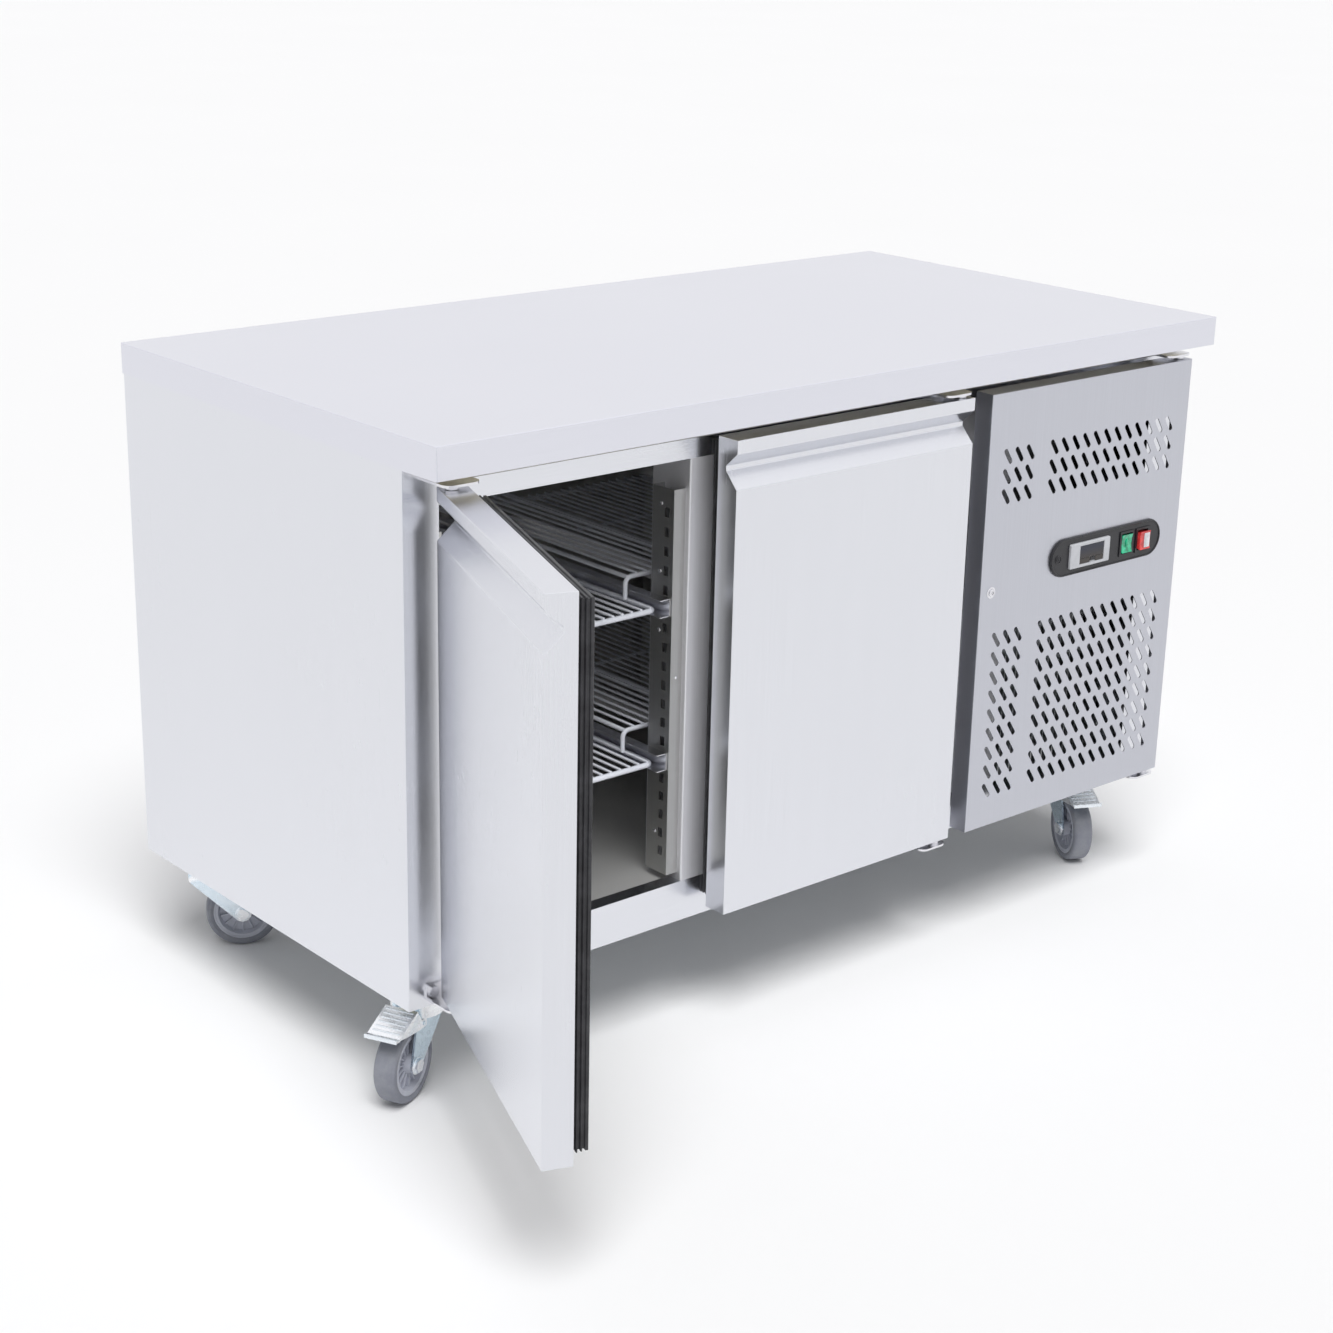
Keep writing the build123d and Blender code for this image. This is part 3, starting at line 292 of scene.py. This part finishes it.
steel_x = brushed_steel("steel_grain_x", "x")
steel_z = brushed_steel("steel_grain_z", "z")
steel_worktop = brushed_steel("steel_worktop", "x", (0.755, 0.76, 0.82), 0.22, 0.06)
# The service panel's darker tint is painted shade: it stands in for the darker reflection that the panel
# shows.
steel_service_painted_shade = brushed_steel("steel_service_painted_shade", "z", (0.57, 0.58, 0.63), 0.36, 0.12)
steel_posts = brushed_steel("steel_posts", "z", (0.80, 0.80, 0.83), 0.52, 0.05, metal=0.8)
steel_liner = brushed_steel("steel_liner", "z", (0.62, 0.62, 0.61), 0.42, 0.15, 0.55)
steel_pilaster = brushed_steel("steel_pilaster", "z", (0.50, 0.50, 0.49), 0.34, 0.0)
steel_small = brushed_steel("steel_small", "y", (0.80, 0.80, 0.83), 0.22, 0.0)
zinc = zinc_plate("zinc")
galvanised_sheet = galvanised("galvanised_sheet")
wire_coating = coated_wire("wire_coating")
tyre_rubber = rubber("tyre_rubber", (0.235, 0.245, 0.285), (0.33, 0.34, 0.37))
seal_rubber = rubber("seal_rubber", (0.022, 0.022, 0.025), (0.06, 0.06, 0.065), (0.34, 0.5))
hub_plastic = plastic("hub_plastic", (0.50, 0.515, 0.58), 0.42)
black_plastic = plastic("black_plastic", (0.010, 0.010, 0.013), 0.30, coat=0.05)
silver_plastic = plastic("silver_plastic", (0.50, 0.51, 0.54), 0.30, coat=0.3)
# The last number of each rocker plastic is the strength of its painted glow.
green_plastic = lit_plastic("green_plastic", (0.02, 0.50, 0.26), (0.004, 0.16, 0.08), 0.25)
red_plastic = lit_plastic("red_plastic", (0.75, 0.05, 0.05), (0.40, 0.012, 0.015), 0.12)
clear_plastic = lit_plastic("clear_plastic", (0.80, 0.80, 0.82), (0.56, 0.57, 0.60), 0.05)
foam_core = foam("foam_core")
copper_tube = copper("copper_tube")
fin_aluminium = aluminium("fin_aluminium")
enamel = black_enamel("enamel")
window_glass = dark_glass("window_glass")


# ------------------------------------------------------------ finishes on the CAD nodes
def paint(material, *names):
    for name in names:
        slots = nodes[name].material_slots
        if not slots:
            nodes[name].data.materials.append(material)
        for slot in slots:
            slot.material = material


def ending(*ends):
    return [name for name in nodes if name.endswith(ends)]


paint(steel_worktop, "worktop")
paint(steel_x, "top_rail", "bottom_rail", "back_panel")
paint(steel_z, "left_side_panel", "right_side_panel", *ending("_door_skin"))
paint(steel_posts, "door_posts")
paint(steel_service_painted_shade, "service_panel")
paint(steel_liner, "inner_liner", "evaporator_cover", *ending("_door_inner_panel"))
paint(steel_pilaster, "shelf_pilasters")
paint(steel_small, "shelf_runners", "hinge_brackets", "hinge_pins", "fasteners")
paint(galvanised_sheet, "base_panel", "condenser_shroud")
paint(zinc, "caster_plates", *ending("_fork", "_pedal"))
paint(tyre_rubber, *ending("_tyre"))
paint(hub_plastic, *ending("_hub"))
paint(seal_rubber, *ending("_gasket"))
paint(wire_coating, *ending("_shelf", "bridge_shelves"))
paint(foam_core, "insulation", *ending("_core"))
paint(fin_aluminium, "evaporator_coil", "condenser_coil", "evaporator_fan", "condenser_fan")
paint(enamel, "compressor", "fan_motors")
paint(copper_tube, "refrigerant_pipes")
paint(black_plastic, "junction_box", "cable_gland", "control_plate", "thermostat_key")
paint(silver_plastic, "thermostat_case")
paint(green_plastic, "green_rocker")
paint(red_plastic, "red_rocker")


# ------------------------------------------------------------ piece tools
def finish_piece(made, body, material):
    """Put a new object in the scene, on its body, with its material."""
    bpy.context.scene.collection.objects.link(made)
    made.data.materials.append(material)
    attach(made, body)
    return made


def mesh_piece(name, bm, body, material, sharp=32.0):
    bmesh.ops.recalc_face_normals(bm, faces=bm.faces)
    mesh = bpy.data.meshes.new(name)
    bm.to_mesh(mesh)
    bm.free()
    mesh.shade_smooth()
    mesh.set_sharp_from_angle(angle=math.radians(sharp))
    return finish_piece(bpy.data.objects.new(name, mesh), body, material)


def wire_piece(name, paths, radius, body, material, closed=False):
    curve = bpy.data.curves.new(name, "CURVE")
    curve.dimensions, curve.bevel_depth, curve.bevel_resolution = "3D", radius, 3
    curve.use_fill_caps = True
    for path in paths:
        spline = curve.splines.new("POLY")
        spline.points.add(len(path) - 1)
        for point, place in zip(spline.points, path):
            point.co = (*place, 1.0)
        spline.use_cyclic_u = closed
    return finish_piece(bpy.data.objects.new(name, curve), body, material)


def frame_at(origin, axis, along):
    """A 4x4 whose Z is the axis and whose X lies towards along."""
    z = Vector(axis).normalized()
    x = Vector(along)
    x = (x - z * x.dot(z)).normalized()
    made = Matrix((x, z.cross(x), z)).transposed().to_4x4()
    made.translation = origin
    return made


def turned(bm, profile, place, segments=40):
    """Sweep (radius, height) points about the place's Z."""
    rings = []
    for radius, height in profile:
        count = segments if radius > 1e-7 else 1
        angles = [2 * math.pi * k / count for k in range(count)]
        local = [Vector((radius * math.cos(a), radius * math.sin(a), height)) for a in angles]
        rings.append([bm.verts.new(place @ point) for point in local])
    for low, high in zip(rings, rings[1:]):
        for k in range(segments):
            below = (low[k % len(low)], low[(k + 1) % len(low)])
            above = (high[(k + 1) % len(high)], high[k % len(high)])
            corners = list(dict.fromkeys(below + above))
            if len(corners) > 2:
                bm.faces.new(corners)


def in_metres(profile):
    """A turned profile given in millimetres."""
    return [(radius * MM, height * MM) for radius, height in profile]


def bar(bm, place, size, bevel):
    """A rounded-edge bar centred on the place."""
    made = bmesh.ops.create_cube(bm, size=1.0, matrix=place @ Matrix.Diagonal((*size, 1.0)))
    edges = list({edge for vertex in made["verts"] for edge in vertex.link_edges})
    bmesh.ops.bevel(bm, geom=edges, offset=bevel, segments=2, affect="EDGES", profile=0.5)


FRONT, RIGHT, UP = Vector((0, -1, 0)), Vector((1, 0, 0)), Vector((0, 0, 1))


def pan_head(bm, place, radius, height):
    """A domed screw head with a cross recess."""
    rim = 0.28 * height
    turned(
        bm,
        (
            (radius, 0.0),
            (radius, rim),
            (0.93 * radius, 0.62 * height),
            (0.74 * radius, 0.86 * height),
            (0.52 * radius, 0.96 * height),
            (0.44 * radius, 0.94 * height),
            (0.36 * radius, 0.45 * height),
            (0.0, 0.40 * height),
        ),
        place,
    )
    for turn in (0.0, math.pi / 2):
        blade = place @ Matrix.Rotation(turn + 0.4, 4, "Z") @ Matrix.Translation((0, 0, 0.86 * height))
        bar(bm, blade, (1.15 * radius, 0.16 * radius, 0.25 * height), 0.03 * radius)


# ------------------------------------------------------------ controls
BEZEL = 1.6 * MM
CONTROL_SCREW_OFFSET = 104 * MM  # left of the plate's middle
SERVICE_SCREW_HEIGHT = 0.514
plate_low, plate_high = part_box("control_plate")
case_low, case_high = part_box("thermostat_case")
key_low, key_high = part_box("thermostat_key")
plate_face = plate_low.y + BEZEL
plate_middle = Vector(((plate_low.x + plate_high.x) / 2, plate_face, (plate_low.z + plate_high.z) / 2))


def stadium(width, height, steps=18):
    """Points round a slot shape, in X and Z about its middle."""
    radius, reach = height / 2, (width - height) / 2
    points = []
    for side, start in ((1, -90), (-1, 90)):
        for k in range(steps + 1):
            angle = math.radians(start + 180 * k / steps)
            points.append(Vector((side * reach + radius * math.cos(angle), 0, radius * math.sin(angle))))
    return points


def control_rim():
    inset = 3.4 * MM
    outline = stadium(plate_high.x - plate_low.x - inset, plate_high.z - plate_low.z - inset)
    path = [plate_middle + point + FRONT * 0.1 * MM for point in outline]
    wire_piece("control_rim", [path], 1.3 * MM, "service_door", black_plastic, True)


def control_screw():
    bm = bmesh.new()
    middle = plate_middle - RIGHT * CONTROL_SCREW_OFFSET
    place = frame_at(middle, FRONT, RIGHT)
    ring = ((6.4, -0.4), (6.4, 0.5), (5.7, 1.0), (4.9, 0.6), (4.6, -0.3), (6.4, -0.4))
    turned(bm, in_metres(ring), place)
    pan_head(bm, place, 4.0 * MM, 1.1 * MM)
    mesh_piece("control_screw", bm, "service_door", black_plastic)


def rounded_pane(bm, low_x, high_x, low_z, high_z, back, thickness, radius):
    """A flat pane facing forward, with rounded corners and a softened front edge."""
    corners = ((high_x, high_z, 0), (low_x, high_z, 90), (low_x, low_z, 180), (high_x, low_z, 270))
    rings = []
    for depth, inset in ((back, 0.0), (back - 0.7 * thickness, 0.0), (back - thickness, 0.35 * thickness)):
        ring = []
        for x, z, start in corners:
            centre_x = x - radius if x == high_x else x + radius
            centre_z = z - radius if z == high_z else z + radius
            for k in range(5):
                angle = math.radians(start + 22.5 * k)
                reach = radius - inset
                point = (centre_x + reach * math.cos(angle), depth, centre_z + reach * math.sin(angle))
                ring.append(bm.verts.new(point))
        rings.append(ring)
    for low, high in zip(rings, rings[1:]):
        for k in range(len(low)):
            follow = (k + 1) % len(low)
            bm.faces.new((low[k], low[follow], high[follow], high[k]))
    bm.faces.new(rings[0])
    bm.faces.new(rings[-1])


def thermostat_window():
    """Smoked panes: the display above, and a strip either side of the key below."""
    recess = case_low.y + 1.6 * MM
    middle_x = (case_low.x + case_high.x) / 2
    left, right = middle_x + 3 * MM - 25.8 * MM, middle_x + 28.8 * MM
    middle_z = (case_low.z + case_high.z) / 2
    top, bottom = middle_z + 13.3 * MM, middle_z - 13.3 * MM
    split = key_high.z + 0.9 * MM
    gap = 0.7 * MM
    bm = bmesh.new()
    rounded_pane(bm, left, right, split, top, recess, 1.0 * MM, 1.0 * MM)
    for pane_left, pane_right in ((left, key_low.x - gap), (key_high.x + gap, right)):
        rounded_pane(bm, pane_left, pane_right, bottom, split - 0.4 * MM, recess, 0.9 * MM, 0.8 * MM)
    mesh_piece("thermostat_window", bm, "service_door", window_glass)


def service_screw():
    """The pan-head screw and washer that hold the service panel's free edge."""
    panel_low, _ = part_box("service_panel")
    place = frame_at((panel_low.x + 20.5 * MM, panel_low.y, SERVICE_SCREW_HEIGHT), FRONT, RIGHT)
    bm = bmesh.new()
    washer = ((8.2, 0.0), (8.2, 0.7), (7.6, 1.0), (4.0, 1.0), (4.0, 0.0), (8.2, 0.0))
    turned(bm, in_metres(washer), place)
    pan_head(bm, place @ Matrix.Translation((0, 0, 0.9 * MM)), 5.6 * MM, 2.9 * MM)
    mesh_piece("service_screw", bm, "service_door", steel_small)


def red_rocker_lens():
    """The clear, faceted right half of the red rocker."""
    low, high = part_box("red_rocker")
    wide, tall = high.x - low.x, high.z - low.z
    bm = bmesh.new()
    for k in range(4):
        x = low.x + wide * (0.44 + 0.135 * k)
        middle = Vector((x, low.y + 0.7 * MM, (low.z + high.z) / 2))
        bar(bm, frame_at(middle, FRONT, RIGHT), (wide * 0.12, tall * 0.80, 1.6 * MM), 0.35 * MM)
    mesh_piece("red_rocker_lens", bm, "red_switch", clear_plastic)


def green_rocker_lens():
    """A raised oval lens on the green rocker."""
    low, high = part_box("green_rocker")
    middle = Vector(((low.x + high.x) / 2, low.y + 1.0 * MM, (low.z + high.z) / 2))
    bm = bmesh.new()
    dome = ((3.2, 0.0), (3.0, 0.6), (2.2, 1.1), (1.1, 1.4), (0.0, 1.5))
    oval = Matrix.Diagonal((1.0, 2.1, 0.7, 1.0))
    turned(bm, in_metres(dome), frame_at(middle, FRONT, RIGHT) @ oval)
    mesh_piece("green_rocker_lens", bm, "green_switch", green_plastic)


control_rim()
control_screw()
red_rocker_lens()
green_rocker_lens()
thermostat_window()
service_screw()

# ------------------------------------------------------------ cold room details
PILASTER_FACES = {  # hole face X, the way it faces, and the Y of its front edge
    "left_wall": (-0.611, 1, -0.262),
    "mullion_left": (-0.273, -1, -0.276),
    "mullion_right": (-0.187, 1, -0.276),
    "cover": (0.151, -1, -0.276),
}


RIVET_LEVELS = (0.703, 0.616, 0.539, 0.267)
RIVET_SETBACK = 24 * MM
FLANGE_RIVET = (-0.264, -0.276, 0.480)


def pilaster_rivets():
    bm = bmesh.new()
    head = ((2.7, 0.0), (2.6, 0.5), (2.0, 1.0), (1.0, 1.3), (0.0, 1.35))
    for face, way, front_y in PILASTER_FACES.values():
        for y in (front_y + RIVET_SETBACK, 0.243 + RIVET_SETBACK):
            for z in RIVET_LEVELS:
                turned(bm, in_metres(head), frame_at((face, y, z), (way, 0, 0), UP), 20)
    smaller = [(0.8 * radius, 0.8 * height) for radius, height in in_metres(head)]
    turned(bm, smaller, frame_at(FLANGE_RIVET, FRONT, UP), 20)
    mesh_piece("pilaster_rivets", bm, "cabinet", steel_small)


def circle(middle, radius, first, second, steps=48):
    angles = [2 * math.pi * k / steps for k in range(steps)]
    return [Vector(middle) + radius * (math.cos(a) * first + math.sin(a) * second) for a in angles]


def fan_guard(name, middle, radius, outward, first, second):
    """Concentric rings on four spokes whose feet turn back to the panel."""
    rings = [circle(middle, radius * share, first, second) for share in (0.28, 0.46, 0.64, 0.82, 1.0)]
    wire_piece(f"{name}_rings", rings, 1.1 * MM, "cabinet", zinc, True)
    spokes = []
    back = -Vector(outward) * 2.6 * MM
    for k in range(4):
        angle = math.pi / 4 + k * math.pi / 2
        along = math.cos(angle) * first + math.sin(angle) * second
        tip = Vector(middle) + along * radius * 1.06
        inner_end = Vector(middle) + back * 0.6 + along * 0.012
        spokes.append([inner_end, tip + back * 0.6, tip + along * 0.012 + back])
    wire_piece(f"{name}_spokes", spokes, 1.4 * MM, "cabinet", zinc)


def motor_wires(name, rotor_joint, outward, reach, strap_depth, panel_depth, first):
    """Rods that carry a fan motor's strap on the panel."""
    middle = Vector(joints[rotor_joint]["pos_m"])
    on_axis = Vector(outward)
    middle -= on_axis * middle.dot(on_axis)
    rods = []
    for side in (-1, 1):
        arm = middle + side * reach * first
        rods.append([arm + on_axis * strap_depth, arm + on_axis * panel_depth])
    wire_piece(name, rods, 2.2 * MM, "cabinet", zinc)


pilaster_rivets()
evaporator_fan_place = Vector(joints["evaporator_fan_spin"]["pos_m"])
fan_guard(
    "evaporator_guard",
    (0.1655, evaporator_fan_place.y, evaporator_fan_place.z),
    0.084,
    (-1, 0, 0),
    Vector((0, 1, 0)),
    UP,
)
motor_wires(
    "evaporator_motor_rods", "evaporator_fan_spin", (1, 0, 0), 0.088, 0.247, 0.170, Vector((0, 1, 0))
)
motor_wires("condenser_motor_rods", "condenser_fan_spin", (0, 1, 0), 0.123, -0.092, -0.140, RIGHT)

# ------------------------------------------------------------ door gaskets
LEFT_DOOR_OPENING = -joints["left_door_hinge"]["range_deg"][0]  # how far it stands open at rest
GASKET_DEPTH, GASKET_WIDTH = 18.6, 22.0
GASKET_RIDGES = (  # depth behind the door's inner face, and shift outwards from the CAD outline; mm
    (0.0, 0.0),
    (1.1, -0.2),
    (2.0, -3.0),
    (4.2, -3.4),
    (5.3, -0.9),
    (6.6, -0.6),
    (7.6, -3.2),
    (9.2, -3.4),
    (10.3, -1.3),
    (11.7, -1.1),
    (12.6, -3.4),
    (14.2, -3.2),
    (15.2, -1.6),
    (18.0, -1.6),
    (18.6, -2.2),
)


def gasket_bellows(side, opening):
    """A folded bellows ring in place of the plain one, swung open with its door."""
    node = nodes[f"{side}_door_gasket"]
    hinge = Vector(joints[f"{side}_door_hinge"]["pos_m"])
    swing = Matrix.Translation(hinge) @ Matrix.Rotation(math.radians(-opening), 4, "Z")
    closed = swing.inverted() @ node.matrix_world
    points = [closed @ vertex.co for vertex in node.data.vertices]
    low = Vector(tuple(min(point[k] for point in points) for k in range(3)))
    high = Vector(tuple(max(point[k] for point in points) for k in range(3)))
    stretch = (high.y - low.y) / GASKET_DEPTH
    bm = bmesh.new()
    profile = [(low.y + depth * stretch, shift * MM) for depth, shift in GASKET_RIDGES]
    profile += [(y, -GASKET_WIDTH * MM - shift) for y, shift in reversed(profile)]
    rings = []
    for y, shift in profile:
        ring = []
        for x, z in ((low.x, low.z), (high.x, low.z), (high.x, high.z), (low.x, high.z)):
            way_x, way_z = (1 if x == high.x else -1), (1 if z == high.z else -1)
            ring.append(bm.verts.new(swing @ Vector((x + way_x * shift, y, z + way_z * shift))))
        rings.append(ring)
    for first, second in zip(rings, rings[1:] + rings[:1]):
        for k in range(4):
            bm.faces.new((first[k], first[(k + 1) % 4], second[(k + 1) % 4], second[k]))
    made = mesh_piece(f"{side}_gasket_bellows", bm, f"{side}_door", seal_rubber, 25.0)
    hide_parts(node.name)


gasket_bellows("left", LEFT_DOOR_OPENING)
gasket_bellows("right", 0.0)


# ------------------------------------------------------------ rear louvres
LOUVRE_ROWS, LOUVRE_COLUMNS, LOUVRE_PITCH, LOUVRE_SPACING = 12, 3, 15.0 * MM, 95.0 * MM


def louvre(bm, middle, length, drop, proud):
    """A pressed hood over a slot: closed above and at its ends, open below."""
    spans, steps = 10, 5
    grid = []
    for i in range(spans + 1):
        share = 2 * i / spans - 1
        swell = math.sqrt(max(0.0, 1 - abs(share) ** 5))
        column = []
        for j in range(steps + 1):
            angle = math.pi / 2 * j / steps
            depth = proud * swell * math.sin(angle)
            height = drop * (math.cos(angle) - 0.5)
            column.append(bm.verts.new(middle + Vector((share * length / 2, depth, height))))
        grid.append(column)
    for first, second in zip(grid, grid[1:]):
        for j in range(steps):
            bm.faces.new((first[j], first[j + 1], second[j + 1], second[j]))


def rear_louvres():
    _, panel_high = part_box("back_panel")
    _, post_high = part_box("door_posts")
    middle_x = (post_high.x + 0.680) / 2 - 5 * MM
    bm = bmesh.new()
    for block_z in (0.620, 0.300):
        for row in range(LOUVRE_ROWS):
            for column in range(LOUVRE_COLUMNS):
                x = middle_x + (column - (LOUVRE_COLUMNS - 1) / 2) * LOUVRE_SPACING
                z = block_z + (row - (LOUVRE_ROWS - 1) / 2) * LOUVRE_PITCH
                louvre(bm, Vector((x, panel_high.y, z + 1.0 * MM)), 76 * MM, 8.5 * MM, 3.6 * MM)
    made = mesh_piece("rear_louvres", bm, "cabinet", steel_x, 60.0)
    thickness = made.modifiers.new("sheet", "SOLIDIFY")
    thickness.thickness = 0.6 * MM
    thickness.offset = -1.0


rear_louvres()

# ------------------------------------------------------------ casters
HUB_RIBS = 14
chromate = plastic("chromate", (0.55, 0.47, 0.20), 0.30)


def caster_details(caster):
    swivel = Vector(joints[f"{caster}_swivel"]["pos_m"])
    axle = Vector(joints[f"{caster}_roll"]["pos_m"])
    across = Vector(joints[f"{caster}_roll"]["axis"])
    trail = UP.cross(across) * -1
    body, wheel = f"{caster}_caster", f"{caster}_wheel"

    bm = bmesh.new()
    raceway = Matrix.Translation((swivel.x, swivel.y, 0))
    ring = (
        (24.6, 138.4),
        (34.4, 138.4),
        (35.6, 139.2),
        (35.9, 140.2),
        (35.0, 141.0),
        (24.6, 141.2),
        (24.6, 138.4),
    )
    turned(bm, in_metres(ring), raceway, 56)
    mesh_piece(f"{caster}_raceway", bm, body, chromate)

    bm = bmesh.new()
    for side in (-1, 1):
        for k in range(HUB_RIBS):
            spin = Matrix.Rotation(2 * math.pi * k / HUB_RIBS, 4, across)
            radial = spin @ UP
            middle = axle + radial * 22.0 * MM + across * side * 6.2 * MM
            bar(bm, frame_at(middle, across, radial), (19.5 * MM, 1.8 * MM, 4.4 * MM), 0.5 * MM)
    rim = ((37.0, 12.6), (37.4, 13.5), (39.2, 13.7), (40.2, 13.2), (40.2, 12.4), (37.0, 12.6))
    for side in (-1, 1):
        place = frame_at(axle, across * side, UP)
        turned(bm, in_metres(rim), place, 64)
    mesh_piece(f"{caster}_hub_ribs", bm, wheel, hub_plastic)

    bm = bmesh.new()
    washer = ((5.2, 19.8), (10.4, 19.8), (10.4, 20.6), (10.0, 20.9), (5.2, 20.9), (5.2, 19.8))
    for side in (-1, 1):
        turned(bm, in_metres(washer), frame_at(axle, across * side, UP))
    mesh_piece(f"{caster}_washers", bm, body, zinc)
    return trail, across, swivel


def pedal_ribs(caster, trail, across, swivel):
    """Raised treads across the brake pedal, and its turned-up toe."""
    floor_point = Vector((swivel.x, swivel.y, 0))
    slope = Vector((trail.x * 45.5, trail.y * 45.5, -17.4)).normalized()
    bm = bmesh.new()
    for k in range(6):
        share = 0.10 + 0.15 * k
        middle = floor_point + trail * (39.5 + 44.5 * share) * MM + UP * (123.6 - 17.4 * share) * MM
        bar(bm, frame_at(middle, slope, across), (38 * MM, 1.8 * MM, 2.2 * MM), 0.6 * MM)
    toe = floor_point + trail * 91.6 * MM + UP * 105.9 * MM
    bar(bm, frame_at(toe, trail, across), (45 * MM, 5.6 * MM, 2.0 * MM), 0.7 * MM)
    mesh_piece(f"{caster}_pedal_ribs", bm, f"{caster}_brake", zinc)


for caster in ("front_left", "front_right", "back_left", "back_right"):
    axes = caster_details(caster)
    if caster.startswith("front"):
        pedal_ribs(caster, *axes)

# ------------------------------------------------------------ camera
CAMERA_PLACE = (-2.1555, -2.4468, 1.4702)
HEADING, TILT, ROLL = (math.radians(a) for a in (40.83, -18.72, 1.28))
LENS = 65.43


def photo_camera():
    data = bpy.data.cameras.new("camera")
    data.lens, data.sensor_width = LENS, 36.0
    camera = bpy.data.objects.new("camera", data)
    bpy.context.scene.collection.objects.link(camera)
    level_right = Vector((math.cos(HEADING), -math.sin(HEADING), 0.0))
    ahead = Vector(
        (math.sin(HEADING) * math.cos(TILT), math.cos(HEADING) * math.cos(TILT), math.sin(TILT))
    )
    level_up = level_right.cross(ahead)
    right = level_right * math.cos(ROLL) + level_up * math.sin(ROLL)
    up = right.cross(ahead)
    turn = Matrix((right, up, -ahead)).transposed().to_4x4()
    camera.matrix_world = Matrix.Translation(CAMERA_PLACE) @ turn
    bpy.context.scene.camera = camera


photo_camera()


# ------------------------------------------------------------ studio
WORLD_SHARE = 0.28  # of the world's light, the part that lights matt surfaces
KEY_DIRECTION, KEY_SPREAD, KEY_POWER = (0.28, 0.47, -1.0), 34.0, 2.66


def floor():
    size = 60.0
    mesh = bpy.data.meshes.new("studio_floor")
    corners = [(-size, -size, 0), (size, -size, 0), (size, size, 0), (-size, size, 0)]
    mesh.from_pydata(corners, [], [(0, 1, 2, 3)])
    made = bpy.data.objects.new("studio_floor", mesh)
    bpy.context.scene.collection.objects.link(made)
    s = Shader("studio_floor")
    haze = s.noise(0.8, 2.0, 0.5)
    s.set(Base_Color=s.blend(haze, (0.902, 0.902, 0.905), (0.916, 0.916, 0.92)))
    s.set(Roughness=0.9, Specular_IOR_Level=0.05)
    mesh.materials.append(s.material)


def soft_sun(direction, spread, power):
    """A wide key light from high at the front left, which mirrors don't show."""
    data = bpy.data.lights.new("key", "SUN")
    data.energy, data.angle = power, math.radians(spread)
    light = bpy.data.objects.new("key", data)
    bpy.context.scene.collection.objects.link(light)
    light.rotation_euler = Vector(direction).to_track_quat("-Z", "Y").to_euler()
    light.visible_glossy = False


def studio_world():
    """White walls that the steel mirrors; the key light does most of the lighting."""
    world = bpy.data.worlds.new("studio")
    bpy.context.scene.world = world
    world.use_nodes = True
    tree = world.node_tree
    tree.nodes.clear()
    coords = tree.nodes.new("ShaderNodeTexCoord").outputs["Generated"]
    split = tree.nodes.new("ShaderNodeSeparateXYZ")
    tree.links.new(coords, split.inputs["Vector"])
    rise = tree.nodes.new("ShaderNodeValToRGB")
    tree.links.new(split.outputs["Z"], rise.inputs["Fac"])
    stops = rise.color_ramp
    stops.elements[0].position, stops.elements[0].color = 0.0, (0.90, 0.905, 0.925, 1)
    stops.elements[1].position, stops.elements[1].color = 1.0, (1.20, 1.20, 1.21, 1)
    for place, tone in ((0.12, 0.92), (0.30, 0.96), (0.60, 1.05)):
        stops.elements.new(place).color = (tone, tone, tone * 1.015, 1)
    path = tree.nodes.new("ShaderNodeLightPath")
    share = tree.nodes.new("ShaderNodeMapRange")
    tree.links.new(path.outputs["Is Diffuse Ray"], share.inputs["Value"])
    share.inputs["To Min"].default_value = 1.0
    share.inputs["To Max"].default_value = WORLD_SHARE
    background = tree.nodes.new("ShaderNodeBackground")
    tree.links.new(rise.outputs["Color"], background.inputs["Color"])
    tree.links.new(share.outputs["Result"], background.inputs["Strength"])
    output = tree.nodes.new("ShaderNodeOutputWorld")
    tree.links.new(background.outputs["Background"], output.inputs["Surface"])


floor()
studio_world()
soft_sun(KEY_DIRECTION, KEY_SPREAD, KEY_POWER)
bpy.context.scene.view_settings.view_transform = "Standard"
bpy.context.scene.view_settings.look = "None"
